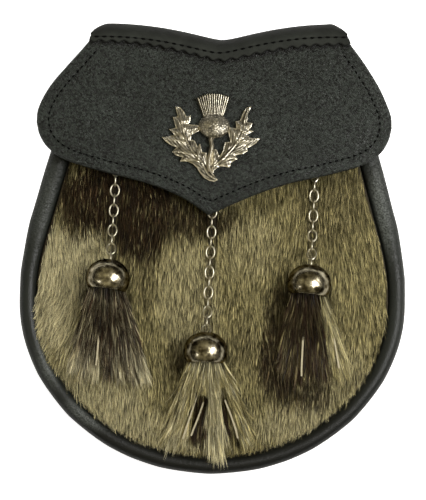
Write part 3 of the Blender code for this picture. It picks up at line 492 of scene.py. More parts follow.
# cast nickel silver, blackened and rubbed back: satin bright faces, black left in the grooves
def makeAntique():
    finish, shader = newFinish("antiquedNickelCasting", "#a79f8a", Metallic=1.0, Roughness=0.38)
    relief = addNode(finish, "Attribute", {}, attribute_name="relief")
    spot = addNode(finish, "TexCoord", {}).outputs
    # stains 2.4 mm across, and a sand-cast grain of 0.6 mm
    stain = addNode(finish, "TexNoise", {"Vector": spot["Object"], "Scale": 420.0, "Detail": 4.0})
    grain = addNode(finish, "TexNoise", {"Vector": spot["Object"], "Scale": 1700.0, "Detail": 2.0})
    rubbed = addNode(finish, "Math", {0: relief.outputs["Fac"], 1: stain}, operation="ADD")
    share = addNode(finish, "MapRange", {"Value": rubbed, "From Min": 0.6, "From Max": 1.45})
    tone = addNode(finish, "Mix", {0: share, 6: linear("#1d1a12"), 7: linear("#f2ead6")}, data_type="RGBA")
    rough = addNode(finish, "MapRange", {"Value": share, "To Min": 0.55, "To Max": 0.3})
    pits = addNode(finish, "Bump", {"Height": grain, "Strength": 0.3, "Distance": 0.0003})
    feed(finish, shader, {"Base Color": tone, "Roughness": rough, "Normal": pits})
    return finish


# nickel plated wire, drawn and tumbled: pale silver, dulled in spots of 1 mm
def makeWire():
    finish, shader = newFinish("nickelPlatedWire", "#cfc9b8", Metallic=1.0, Roughness=0.32)
    spot = addNode(finish, "TexCoord", {}).outputs
    wear = addNode(finish, "TexNoise", {"Vector": spot["Object"], "Scale": 900.0, "Detail": 2.0})
    tone = addNode(finish, "Mix", {0: wear, 6: linear("#ada691"), 7: linear("#f7f0db")}, data_type="RGBA")
    rough = addNode(finish, "MapRange", {"Value": wear, "To Min": 0.25, "To Max": 0.38})
    feed(finish, shader, {"Base Color": tone, "Roughness": rough})
    return finish


# polished black nickel plate on spun brass: a mirror with a warm dark tint
def makePolished():
    finish, shader = newFinish("polishedBlackNickel", "#9a917c", Metallic=1.0, Roughness=0.2,
                               Specular_Tint=(0.12, 0.10, 0.08, 1))
    spot = addNode(finish, "TexCoord", {}).outputs
    # a haze of finger marks and soft dents 3 mm across; its blotches in the tone also paint a mottled
    # reflection of the room
    haze = addNode(finish, "TexNoise", {"Vector": spot["Object"], "Scale": 350.0, "Detail": 4.0})
    paintedMottle = addNode(finish, "MapRange", {"Value": haze, "From Min": 0.35, "From Max": 0.65})
    tone = addNode(finish, "Mix", {0: paintedMottle, 6: linear("#4a4230"), 7: linear("#c2b9a0")}, data_type="RGBA")
    rough = addNode(finish, "MapRange", {"Value": haze, "To Min": 0.16, "To Max": 0.32})
    dimples = addNode(finish, "Bump", {"Height": haze, "Strength": 0.4, "Distance": 0.0005})
    feed(finish, shader, {"Base Color": tone, "Roughness": rough, "Normal": dimples})
    return finish


calf = makeCalf()
pebbled = makePebbled()
nappa = makeNappa()
thread = makeThread()
hide = makeHide()
sealHair = makeHair("sealGuardHair")
tasselHair = makeHair("tasselFurHair")
cutEdge = makeCutEdge()
antique = makeAntique()
wire = makeWire()
polished = makePolished()
print("finishes made")

# gusset: one lofted leather shell, rolled proud at the front and the back edge
gusset = {
    "stations": 300,
    "arcSteps": 12,
    "sag": 0.0003,
    "sagWaves": (0.21, 0.067),
    # patches where a sheen is painted on the roll's top, (x, y, half width, half height, strength), and how
    # soft their edges are
    "paintedSheenSoft": 0.1,
    "rubbed": ((-0.0785, -0.052, 0.009, 0.022, 0.8), (-0.056, -0.0815, 0.022, 0.010, 0.8),
               (0.0815, 0.018, 0.009, 0.040, 0.75), (-0.083, 0.020, 0.009, 0.030, 0.3)),
}


def gussetSection(y):
    roll, seam, half = rollWidth(y), seamHeight(y), pouch["gussetWall"] / 2
    halfRoll = roll / 2 - half
    backLip = pouch["backFace"] + pouch["backWall"] + pouch["gap"] + half
    backCentre = half / math.cos(math.pi / 8) + pouch["backRoll"]
    section = [(roll + pouch["lip"], seam - pouch["lipDrop"]), (roll - half, seam - pouch["lipDrop"])]
    for angle in np.linspace(0, math.pi, gusset["arcSteps"] + 1):
        section.append((roll / 2 + halfRoll * math.cos(angle), seam + pouch["frontRoll"] * math.sin(angle)))
    for share in (0.25, 0.5, 0.75):
        dent = pouch["sideDent"] * math.sin(math.pi * share)
        section.append((half + dent, seam + share * (backCentre - seam)))
    for angle in np.linspace(math.pi, 2 * math.pi, gusset["arcSteps"] + 1):
        section.append((roll / 2 + halfRoll * math.cos(angle),
                        backCentre + pouch["backRoll"] * math.sin(angle)))
    section += [(roll - half, backLip), (roll + pouch["lip"], backLip)]
    return section


def makeGusset():
    points, inward = rimStations(gusset["stations"])
    sections = np.array([gussetSection(y) for y in points[:, 1]])
    rows = sections.shape[1]

    def place(u, v):
        i = np.rint(u * (gusset["stations"] - 1)).astype(int)
        k = np.rint(v * (rows - 1)).astype(int)
        quick, slow = gusset["sagWaves"]
        soft = gusset["sag"] * np.sin(i * quick) * np.sin(i * slow + 1) * np.sin(math.pi * v) ** 2
        inset = sections[i, k, 0] + np.abs(soft)
        return points[i, 0] + inward[i, 0] * inset, points[i, 1] + inward[i, 1] * inset, sections[i, k, 1]

    piece = laidGrid("gussetShell", gusset["stations"] - 1, rows - 1, place)
    # the front roll's top face looks up
    facingUp(piece)
    withModifier(piece, "SOLIDIFY", thickness=pouch["gussetWall"], offset=0, use_even_offset=True)
    # the patches of painted sheen on the roll's top
    setValues(piece, "rubbed", patchField(*flatPlaces(piece).T, gusset["rubbed"], gusset["paintedSheenSoft"]))
    return finished(piece, calf, ["gusset"], 50)


makeGusset()
print("gusset made")

# hide of the fur front: crowned sheet of 2 mm
front = {
    "centreY": -0.015,
    "around": 180,
    "endsLeftOut": 4,
    "mouthStations": 40,
    "mouthDip": 0.004,
    "rings": 22,
    "ringPower": 0.8,
    "wall": 0.002,
}


def makeFrontHide():
    points, inward = rimStations(front["around"])
    edge = points + inward * (rollWidth(points[:, 1]) + pouch["gap"])[:, None]
    edge = edge[front["endsLeftOut"] : -front["endsLeftOut"]]
    mouth = np.linspace(edge[-1], edge[0], front["mouthStations"])[1:]
    mouth[:, 1] -= front["mouthDip"] * np.sin(math.pi * np.linspace(0, 1, front["mouthStations"])[1:])
    outline = np.concatenate([edge, mouth])
    count = len(outline) - 1

    def place(u, v):
        i = np.rint(u * count).astype(int)
        ring = (1 - v) ** front["ringPower"]
        x, y = outline[i, 0] * ring, front["centreY"] + (outline[i, 1] - front["centreY"]) * ring
        return x, y, frontHeight(x, y)

    piece = laidGrid("sealFrontHide", count, front["rings"], place)
    inEditMode(piece, (bpy.ops.mesh.remove_doubles, {"threshold": 1e-6}))
    facingUp(piece)
    withModifier(piece, "SOLIDIFY", thickness=front["wall"], offset=-1, use_even_offset=True)
    return finished(piece, hide, ["sealskin_front"], 50)


makeFrontHide()
print("front hide made")

# flap: (x, y) of the right half's outline; its tip hangs a little left of the middle
flap = {
    "side": ((0.0640, 0.1012), (0.0735, 0.0893), (0.0812, 0.0785), (0.0864, 0.0675), (0.0872, 0.0605)),
    "foot": ((0.0872, 0.0605), (0.0855, 0.0540), (0.0812, 0.0476), (0.0725, 0.0419), (0.0553, 0.0368),
             (0.0345, 0.0317), (0.0170, 0.0252)),
    "tip": (-0.0024, 0.0162),
    "topBelowFold": 0.0066,
    "halfWidth": 0.0872,
    "edgeHeights": (0.0268, 0.0300),
    "crowns": (0.0006, 0.0132),
    "wall": 0.003,
    "columns": 240,
    "rows": 64,
    "edgeRadius": 0.0014,
    "border": 0.00012,
    "borderRise": (0, 0.002),
    "borderFall": (0.0042, 0.0056),
    "borderBelowFold": (0.011, 0.013),
    "stitchInset": 0.0058,
    "underHinge": 0.0003,
    "stitchPitch": 0.0031,
    "stitch": (0.0017, 0.00078),
    "stitchProud": 0.0002,
}

# hinge strip: soft leather folded over the top, its lower edge pinked in small waves
hinge = {
    "halfWidth": 0.0646,
    "corner": (0.0073, 0.0042),
    "endY": (0.0985, 0.1100),
    "endPull": 0.0068,
    "endPower": 2.1,
    "endReach": 0.0128,
    "foldDepth": 0.0062,
    "backLeg": 0.0125,
    "frontLeg": 0.0098,
    "shorterLeft": 0.0014,
    "shorterFrom": (-0.005, 0.060),
    "toothPitch": 0.0060,
    "toothDepth": 0.0013,
    "wall": 0.0016,
    "columns": 252,
    "backRows": 3,
    "foldRows": 15,
    "frontRows": 9,
    "edgeRound": 0.0004,
    "stitchEnds": (-0.0610, 0.0640),
    "stitchBelowFold": 0.0067,
    "seamLighter": 0.0004,
    "stitchPitch": 0.0038,
    "stitch": (0.0024, 0.0009),
}


def hingeEdge(u):
    # y of the pinked edge, from the left end at u 0 to the right end at u 1
    x = (2 * u - 1) * hinge["halfWidth"]
    teeth = round(2 * hinge["halfWidth"] / hinge["toothPitch"])
    wave = 0.5 - 0.5 * np.cos(2 * math.pi * teeth * u)
    shorter = hinge["shorterLeft"] * smoothStep(-x, *hinge["shorterFrom"])
    return foldTop(x) - hinge["frontLeg"] + shorter - hinge["toothDepth"] * wave


def hingeEdgeLine():
    u = np.linspace(0, 1, hinge["columns"] + 1)
    y = hingeEdge(u)
    return np.stack([(2 * u - 1) * hinge["halfWidth"] + flapLean(y), y], 1)


def flapHeight(x, y):
    start = pouch["foldTop"] - flap["topBelowFold"]
    share = np.clip((start - y) / (start - flap["tip"][1]), 0, 1)
    low, high = flap["edgeHeights"]
    flat, full = flap["crowns"]
    crown = flat + smoothStep(share, 0, 1) * (full - flat)
    return low + share * (high - low) + crown * (1 - np.clip(np.abs(x) / flap["halfWidth"], 0, 1) ** 3)


def flapEdges():
    # the top row and the foot row of the flap, each from its left end to its right end
    half = flap["columns"] // 2
    side = curveThrough(flap["side"], 60)[::-1]
    crestX = np.linspace(flap["side"][0][0], 0, 60)[1:]
    crest = np.stack([crestX, foldTop(crestX) - flap["topBelowFold"]], 1)
    rightTop = resampled(np.concatenate([side, crest]), half + 1)
    leftTop = rightTop * (-1, 1)
    crested = np.abs(leftTop[:, 0]) < flap["side"][0][0]
    leftTop[crested, 1] = foldTop(leftTop[crested, 0]) - flap["topBelowFold"]
    rightFoot = curveThrough((*flap["foot"], flap["tip"]), half + 1)
    leftFoot = curveThrough((*flap["foot"], (-flap["tip"][0], flap["tip"][1])), half + 1) * (-1, 1)
    rows = np.concatenate([leftTop, rightTop[-2::-1]]), np.concatenate([leftFoot, rightFoot[-2::-1]])
    for row in rows:
        row[:, 0] += flapLean(row[:, 1])
    return rows


topRow, footRow = flapEdges()
sideCount = int((topRow[:, 0] < -flap["side"][0][0]).sum())
# the stitched edge: down the left side from the hinge, along the foot, and up the right side
stitchedEdge = np.concatenate([topRow[: sideCount + 1][::-1], footRow[1:-1], topRow[-sideCount - 1 :][::-1]])


def flapSheet(name, side):
    # side 1 is the outer face and -1 the inner one; both meet on the edge's middle line
    radius = flap["edgeRadius"]

    def place(u, v):
        i = np.rint(u * flap["columns"]).astype(int)
        share = (1 - np.cos(math.pi * v)) / 2
        x, y = ((1 - share)[:, None] * topRow[i] + share[:, None] * footRow[i]).T
        away = distanceTo(np.stack([x, y], 1), np.concatenate([footRow, topRow[::-1]]))
        half = flap["wall"] / 2
        fall = np.where(away < radius, half - half * np.sqrt(np.clip(1 - (1 - away / radius) ** 2, 0, 1)), 0)
        # the border outside the stitches stands a little proud
        raised = flap["border"] * smoothStep(away, *flap["borderRise"])
        raised = raised * (1 - smoothStep(away, *flap["borderFall"]))
        outer = flapHeight(x, y) - fall + raised * smoothStep(foldTop(x) - y, *flap["borderBelowFold"])
        inner = flapHeight(x, y) - flap["wall"] + fall
        return x, y, outer if side > 0 else inner

    return laidGrid(name, flap["columns"], flap["rows"], place)


def makeFlap():
    piece = joined("flapLeather", [flapSheet("flapOuter", 1), flapSheet("flapInner", -1)])
    mergedOutwards(piece, 2e-5)
    places = flatPlaces(piece)
    setValues(piece, "edgeDistance", distanceTo(places, stitchedEdge))
    # distance below the hinge's pinked edge, where a shadow is painted on the flap
    setValues(piece, "hingeDistance", distanceTo(places, hingeEdgeLine() - (0, flap["underHinge"])))
    return finished(piece, pebbled, ["flap"], 60)


def insetLine(line, inset, nearest=0.985):
    # the line moved to its right-hand side, without the parts that cross at corners
    along = np.gradient(line, axis=0)
    along /= np.linalg.norm(along, axis=1)[:, None]
    moved = line + inset * np.stack([-along[:, 1], along[:, 0]], 1)
    return moved[distanceTo(moved, line) > inset * nearest]


def stitchModel(length, width):
    deselectAll()
    bpy.ops.mesh.primitive_uv_sphere_add(segments=8, ring_count=6, radius=0.5)
    model = bpy.context.object
    inEditMode(model, (bpy.ops.transform.resize, {"value": (length, width, width * 0.8)}))
    return model


def stitches(name, line, pitch, length, width, height, sink, near=0.3):
    # threads laid along a line, each its own copy, joined in one piece; a thread's slope is read at near of
    # the pitch before and after it
    total = np.linalg.norm(np.diff(line, axis=0), axis=1).sum()
    spots = resampled(line, int(total / pitch) + 1)
    model = stitchModel(length, width)
    made = []
    for first, second in zip(spots, spots[1:]):
        middle, run = (first + second) / 2, second - first
        ends = [height(*(middle + run * side * near)) for side in (-1, 1)]
        slope = math.atan2(float(ends[1] - ends[0]), float(np.linalg.norm(run)) * (2 * near))
        turn = Matrix.Rotation(math.atan2(run[1], run[0]), 4, "Z") @ Matrix.Rotation(-slope, 4, "Y")
        place = Matrix.Translation((*middle, float(height(*middle)) - sink)) @ turn
        made.append(placedCopy(model, name + "Copy", place))
    bpy.data.objects.remove(model)
    return finished(joined(name, made), thread)


makeFlap()
print("flap made")
flapSeam = insetLine(stitchedEdge, flap["stitchInset"])
stitches("flapStitches", flapSeam, flap["stitchPitch"], *flap["stitch"], flapHeight, -flap["stitchProud"])

lineX = np.linspace(*hinge["stitchEnds"], 120)
stitchLine = np.stack([lineX, foldTop(lineX) - hinge["stitchBelowFold"]], 1)


def makeHinge():
    run, fall = hinge["corner"]
    backRows, foldRows, frontRows = hinge["backRows"], hinge["foldRows"], hinge["frontRows"]
    arc = np.linspace(-math.pi / 2, math.pi / 2, foldRows)
    rows = backRows + foldRows - 1 + frontRows

    def place(u, v):
        x = (2 * u - 1) * hinge["halfWidth"]
        top = foldTop(x)
        foldY = top - hinge["foldDepth"]
        back = pouch["backFace"] - pouch["gap"] - hinge["wall"] / 2
        faceY = flapHeight(x, foldY) + pouch["gap"] + hinge["wall"] / 2
        past = np.clip((np.abs(x) - (hinge["halfWidth"] - run)) / run, 0, 1)
        reach = hinge["foldDepth"] - hinge["wall"] / 2 - fall * (1 - np.sqrt(1 - past**2))
        middle, rise = (faceY + back) / 2, (faceY - back) / 2
        edgeY = hingeEdge(u)
        step = np.rint(v * rows).astype(int)
        onBack = np.clip(step / backRows, 0, 1)
        bend = arc[np.clip(step - backRows, 0, foldRows - 1)]
        onFront = np.clip((step - (backRows + foldRows - 1)) / frontRows, 0, 1)
        y = np.where(step < backRows, foldY - hinge["backLeg"] * (1 - onBack), foldY + reach * np.cos(bend))
        z = np.where(step < backRows, back, middle + rise * np.sin(bend))
        legY = foldY + (edgeY - foldY) * onFront
        legZ = flapHeight(x, legY) + pouch["gap"] + hinge["wall"] / 2
        y = np.where(onFront > 0, legY, y)
        z = np.where(onFront > 0, legZ, z)
        # the ends are drawn in towards the fold
        low, high = hinge["endY"]
        pull = hinge["endPull"] * np.maximum(0, (y - low) / (high - low)) ** hinge["endPower"]
        nearEnd = np.maximum(0, 1 - (hinge["halfWidth"] - np.abs(x)) / hinge["endReach"])
        return np.sign(x) * (np.abs(x) - pull * nearEnd) + flapLean(y), y, z

    piece = laidGrid("hingeLeather", hinge["columns"], rows, place)
    if max(piece.data.polygons, key=lambda face: face.center.z).normal.z < 0:
        inEditMode(piece, (bpy.ops.mesh.flip_normals, {}))
    withModifier(piece, "SOLIDIFY", thickness=hinge["wall"], offset=0, use_even_offset=True)
    withModifier(piece, "BEVEL", width=hinge["edgeRound"], segments=2, limit_method="ANGLE",
                 angle_limit=math.radians(60))
    places = flatPlaces(piece)
    fromStitches = distanceTo(places, stitchLine) + hinge["seamLighter"]
    # distance to the pinked edge and to the stitch line, where shade is painted on the hinge
    setValues(piece, "seamDistance", np.minimum(distanceTo(places, hingeEdgeLine()), fromStitches))
    return finished(piece, nappa, ["hinge_strip"], 50)


def hingeFace(x, y):
    return flapHeight(x, y) + pouch["gap"] + hinge["wall"]


makeHinge()
stitches("hingeStitches", stitchLine, hinge["stitchPitch"], *hinge["stitch"], hingeFace, -flap["stitchProud"])
print("hinge made")

# tassels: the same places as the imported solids
tassels = (
    {"side": "left", "x": -0.0510, "y": -0.0137, "turn": -7, "reach": 0.0475,
     "links": 9, "flatEnd": False, "chainX": -0.0483},
    {"side": "middle", "x": -0.0028, "y": -0.0484, "turn": -1, "reach": 0.0465,
     "links": 13, "flatEnd": True, "chainX": -0.0006},
    {"side": "right", "x": 0.0474, "y": -0.0146, "turn": -5, "reach": 0.0465,
     "links": 9, "flatEnd": False, "chainX": 0.0492},
)
cap = {
    "radius": 0.0107,
    "length": 0.0155,
    "wall": 0.0009,
    "hole": 0.0031,
    "tilt": 4,
    "dome": 0.0092,
    "mouthShare": 0.82,
    "pinDepth": 0.0006,
    "pinRadius": 0.0005,
    "sides": 64,
    "edgeRound": 0.00025,
    "fittedAngles": range(-60, 61, 20),
    "middleLine": (-0.0015, -0.0070),
}
chain = {
    "length": 0.0068,
    "width": 0.0050,
    "wire": 0.00085,
    "clearance": 0.00015,
    "lift": 0.0027,
    "riseLength": 0.022,
}


def onDome(bend):
    # radius and height of the bell's dome, bend radians down from its apex
    top = cap["length"] / 2
    return cap["radius"] * math.sin(bend), top - cap["dome"] + cap["dome"] * math.cos(bend)


def capProfile(count):
    # outer face of the bell from the hole at its apex to its mouth, then the inner face back up
    top = cap["length"] / 2
    outer = [onDome(bend) for bend in np.linspace(math.asin(cap["hole"] / cap["radius"]), math.pi / 2, count)]
    # below its widest place the bell goes almost straight down and turns in at its mouth
    for share in np.linspace(0, 1, 11)[1:]:
        radius = cap["radius"] * (1 - (1 - cap["mouthShare"]) * share**3)
        outer.append((radius, top - cap["dome"] - share * (cap["length"] - cap["dome"])))
    inner = [(radius - cap["wall"], height) for radius, height in outer[:0:-1]]
    inner[-1] = (cap["hole"], outer[0][1] - cap["wall"])
    return outer + inner


def cadProfile():
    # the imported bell's own profile, which says how high it has to lie to clear the front
    top = cap["length"] / 2
    dome = [onDome(math.radians(angle)) for angle in (20, 40, 60, 90)]
    skirt = [(cap["radius"] * 0.94, top - 0.0128), (cap["radius"] * 0.80, -top)]
    return [(cap["hole"], top - 0.0004), *dome, *skirt]


def capFrame(tassel):
    # +Y out of the cap's apex, tilted down to the fur and turned towards its chain
    x, y, half = tassel["x"], tassel["y"], cap["length"] / 2
    slope = float(frontHeight(x, y - half) - frontHeight(x, y + half)) / cap["length"]
    turn = Matrix.Rotation(math.radians(tassel["turn"]), 4, "Z")
    tilt = Matrix.Rotation(-math.radians(cap["tilt"]) - math.atan(slope), 4, "X")
    level = Matrix.Translation((x, y, 0)) @ turn @ tilt
    lift = -math.inf
    for radius, height in cadProfile():
        for angle in cap["fittedAngles"]:
            across, down = turned(0, -radius, angle)
            point = level @ Vector((across, height, down))
            lift = max(lift, float(frontHeight(point.x, point.y)) - point.z)
    return Matrix.Translation((0, 0, lift + pouch["gap"])) @ level


def chainPlaces(tassel):
    # centres of the links from the cap's pin upwards, then the anchor's eye
    pitch = chain["length"] - 2 * chain["wire"] - chain["clearance"]
    pin = capFrame(tassel) @ Vector((0, cap["length"] / 2 - cap["pinDepth"], 0))
    runX = (tassel["chainX"] - pin.x) / (pitch * tassel["links"])
    pinLift = pin.z - float(frontHeight(pin.x, pin.y))

    def onChain(up):
        y = pin.y + up
        x = pin.x + runX * up
        rise = max(0.0, 1 - up / chain["riseLength"]) ** 2
        return Vector((x, y, float(frontHeight(x, y)) + chain["lift"] + (pinLift - chain["lift"]) * rise))

    hold = chain["length"] / 2 - chain["wire"] - chain["clearance"]
    strides = [hold - cap["pinRadius"]] + [pitch] * (tassel["links"] - 1) + [hold - chain["wire"] / 2]
    places = [pin]
    up = 0.0
    for stride in strides:
        low, high = up, up + 2 * stride
        for _ in range(40):  # halving finds the place that is one stride away
            middle = (low + high) / 2
            if (onChain(middle) - places[-1]).length < stride:
                low = middle
            else:
                high = middle
        up = (low + high) / 2
        places.append(onChain(up))
    return places


def makeCap(tassel):
    points = [(radius, height, 0) for radius, height in capProfile(16)]
    mesh = bpy.data.meshes.new("capProfile")
    mesh.from_pydata(points, [(i, (i + 1) % len(points)) for i in range(len(points))], [])
    bell = newPiece("tasselBell_" + tassel["side"], mesh)
    spin = {"steps": cap["sides"], "angle": 2 * math.pi, "center": (0, 0, 0), "axis": (0, 1, 0)}
    inEditMode(bell, (bpy.ops.mesh.spin, spin))
    mergedOutwards(bell, 1e-6)
    withModifier(bell, "BEVEL", width=cap["edgeRound"], segments=2, limit_method="ANGLE",
                 angle_limit=math.radians(50))
    deselectAll()
    bpy.ops.mesh.primitive_cylinder_add(vertices=16, radius=cap["pinRadius"],
                                        depth=2 * cap["hole"] + cap["wall"])
    pin = bpy.context.object
    across = Matrix.Rotation(math.pi / 2 * (not tassel["flatEnd"]), 4, "Y")
    pin.data.transform(Matrix.Translation((0, cap["length"] / 2 - cap["pinDepth"], 0)) @ across)
    piece = joined("tasselBell_" + tassel["side"], [bell, pin])
    piece.data.transform(capFrame(tassel))
    return finished(piece, polished, ["tassel_cap_" + tassel["side"]], 35)


def makeChain(tassel, model):
    places = chainPlaces(tassel)
    count = tassel["links"]
    for index in range(1, count + 1):
        along = (places[index + 1] - places[index - 1]).normalized()
        side = along.cross(Vector((0, 0, 1))).normalized()
        up = side.cross(along)
        if tassel["flatEnd"] != bool(index % 2):
            side, up = up, -side
        place = Matrix.Translation(places[index]) @ Matrix((side, along, up)).transposed().to_4x4()
        number = "%s_%02d" % (tassel["side"], count + 1 - index)
        finished(placedCopy(model, "chainLink_" + number, place), wire, ["link_" + number])


# one oval link: a ring of wire, drawn out along its length
deselectAll()
ringRadius, wireRadius = chain["width"] / 2 - chain["wire"] / 2, chain["wire"] / 2
bpy.ops.mesh.primitive_torus_add(
    major_radius=ringRadius, minor_radius=wireRadius, major_segments=28, minor_segments=10)
linkModel = bpy.context.object
stretch = (chain["length"] - chain["wire"]) / (chain["width"] - chain["wire"])
for vertex in linkModel.data.vertices:
    # the ring's middle line becomes an oval and the wire keeps its thickness
    angle = math.atan2(vertex.co.y, vertex.co.x)
    vertex.co.y += ringRadius * math.sin(angle) * (stretch - 1)
for tassel in tassels:
    makeCap(tassel)
    makeChain(tassel, linkModel)
bpy.data.objects.remove(linkModel)
print("bells and chains made")


def hairMesh(name, stations, widths, colours, rolls):
    # three-sided hairs through their stations, each ending in a point, joined in one mesh
    count, sections = stations.shape[:2]
    axis = stations[:, -1] - stations[:, 0]
    axis /= np.linalg.norm(axis, axis=1)[:, None]
    side = np.cross(axis, (0, 0, 1))
    side /= np.linalg.norm(side, axis=1)[:, None]
    up = np.cross(axis, side)
    ringCount = sections - 1
    rings = np.empty((count, ringCount, 3, 3))
    for k in range(3):
        angle = rolls + 2 * math.pi * k / 3
        offset = np.cos(angle)[:, None] * side + np.sin(angle)[:, None] * up
        rings[:, :, k] = stations[:, :-1] + offset[:, None] * widths[:, :, None] / 2
    points = np.concatenate([rings.reshape(count, -1, 3), stations[:, -1:]], 1)
    perHair = points.shape[1]
    base = np.arange(count)[:, None] * perHair
    faces = []
    for j in range(ringCount - 1):
        for k in range(3):
            a, b = 3 * j + k, 3 * j + (k + 1) % 3
            faces.append(base + np.array([a, b, b + 3, a + 3]))
    quads = np.concatenate(faces).tolist() if faces else []
    last = 3 * (ringCount - 1)
    corners = [np.array([last + k, last + (k + 1) % 3, perHair - 1]) for k in range(3)]
    tips = np.concatenate([base + corner for corner in corners]).tolist()
    mesh = bpy.data.meshes.new(name)
    mesh.from_pydata(points.reshape(-1, 3).tolist(), [], quads + tips)
    painted = np.concatenate([np.repeat(colours[:, :-1], 3, axis=1), colours[:, -1:]], 1)
    painted = np.concatenate([painted, np.ones((count, perHair, 1))], 2)
    layer = mesh.color_attributes.new("hairColour", "FLOAT_COLOR", "POINT")
    layer.data.foreach_set("color", painted.ravel().astype(np.float32))
    return newPiece(name, mesh)


# fur of the front: short hairs in tufts, combed down; patches are (x, y, reach x, reach y, strength)
fur = {
    "tufts": 54000,
    "triesPerTuft": 2.3,
    "fieldX": (-0.088, 0.088),
    "fieldY": (-0.104, 0.066),
    "underFlap": 0.008,
    "rootInside": 0.985,
    "rootSunk": 0.0002,
    "overRoll": 0.0003,
    "shortest": 0.12,
    "hairsPerTuft": 3,
    "pieces": 3,
    "length": (0.0043, 0.0086),
    "width": 0.00031,
    "height": (0.0004, 0.0027),
    "spread": 0.00013,
    "gather": 0.00008,
    "leftZone": ((0.052, 0.076), (-0.064, -0.046), (-0.030, -0.008)),
    "rightZone": (0.055, 0.083),
    "shortZone": ((0.062, 0.076), (0.004, 0.016)),
    "swirls": (5, 4),
    "splayed": (24, 8),
    "longerLeft": 0.3,
    "lean": 5.5,
    "hairLean": 0.025,
    "tuftTone": (-0.22, 0.74),
    "hairTone": 0.38,
    "greyShare": 0.06,
    "greyFrom": 0.6,
    "pressedNear": (0.0014, 0.0036),
    "pressedHeight": 0.92,
    "paintedChainShadow": 0.45,
    "bellShade": 0.55,
    "bellShadeReach": 0.0026,
    "patchBlur": (0.0010, 0.0030),
    "strayShare": 0.10,
    "strayTone": (0.3, 0.8),
    "ends": {"ragged": 0.0009, "inside": 0.0004, "overLeft": 0.0021, "shortUpperLeft": 0.0030},
    # dark: the hide's own dark patches, with painted shadows beside and under the bells and tassels among
    # them
    "dark": ((-0.048, 0.027, 0.034, 0.021, 1.0), (-0.036, 0.008, 0.014, 0.014, 1.0),
             (-0.014, 0.017, 0.028, 0.010, 0.9), (-0.066, 0.016, 0.010, 0.010, 0.7),
             (0.031, -0.051, 0.0095, 0.020, 0.92), (0.034, -0.028, 0.009, 0.016, 0.75),
             (0.045, -0.067, 0.016, 0.009, 0.85), (0.015, -0.044, 0.008, 0.012, 0.4),
             (-0.017, -0.053, 0.007, 0.010, 0.5), (-0.004, -0.080, 0.007, 0.016, 0.8),
             (0.013, -0.082, 0.006, 0.012, 0.7), (-0.063, -0.026, 0.004, 0.016, 0.25),
             (0.058, 0.026, 0.020, 0.022, 0.35), (-0.033, -0.016, 0.005, 0.014, 0.35),
             (-0.0625, -0.0150, 0.004, 0.009, 0.5), (-0.0155, -0.0500, 0.004, 0.010, 0.6),
             (0.0350, -0.0160, 0.004, 0.010, 0.5)),
    "pale": ((-0.078, -0.016, 0.013, 0.030, 1.0), (-0.066, -0.008, 0.010, 0.018, 0.6),
             (-0.074, -0.036, 0.010, 0.012, 0.8), (-0.034, -0.090, 0.042, 0.012, 0.6),
             (-0.056, -0.070, 0.026, 0.024, 0.65), (0.042, -0.084, 0.022, 0.010, 0.5),
             (-0.012, -0.020, 0.017, 0.030, 0.30), (-0.060, 0.002, 0.012, 0.010, 0.55),
             (0.062, -0.062, 0.018, 0.020, 0.25), (0.018, 0.006, 0.016, 0.018, 0.2)),
    "darkColour": "#2a1d10",
    "midColour": "#9b9060",
    "paleColour": "#f7ebb8",
    "rootShade": 0.20,
    "tipShade": 1.28,
    "seed": 41,
}


def keptHue(colours, most=0.95):
    # the brightest hairs are held below white without a change of hue
    return colours * np.minimum(1, most / np.maximum(colours.max(-1, keepdims=True), 1e-6))


def rollTop(x, y):
    # height of the gusset's front roll beside the fur
    roll = rollWidth(y)
    bowl = np.hypot(x / pouch["halfWidth"], (y - pouch["widestY"]) / pouch["bowlDrop"])
    inset = np.where(y < pouch["widestY"], (1 - bowl) * pouch["meanReach"], halfWidth(y) - np.abs(x))
    half = roll / 2
    arch = np.sqrt(np.clip(1 - ((inset - half) / half) ** 2, 0, 1))
    return seamHeight(y) + (pouch["frontRoll"] + pouch["gussetWall"] / 2) * arch


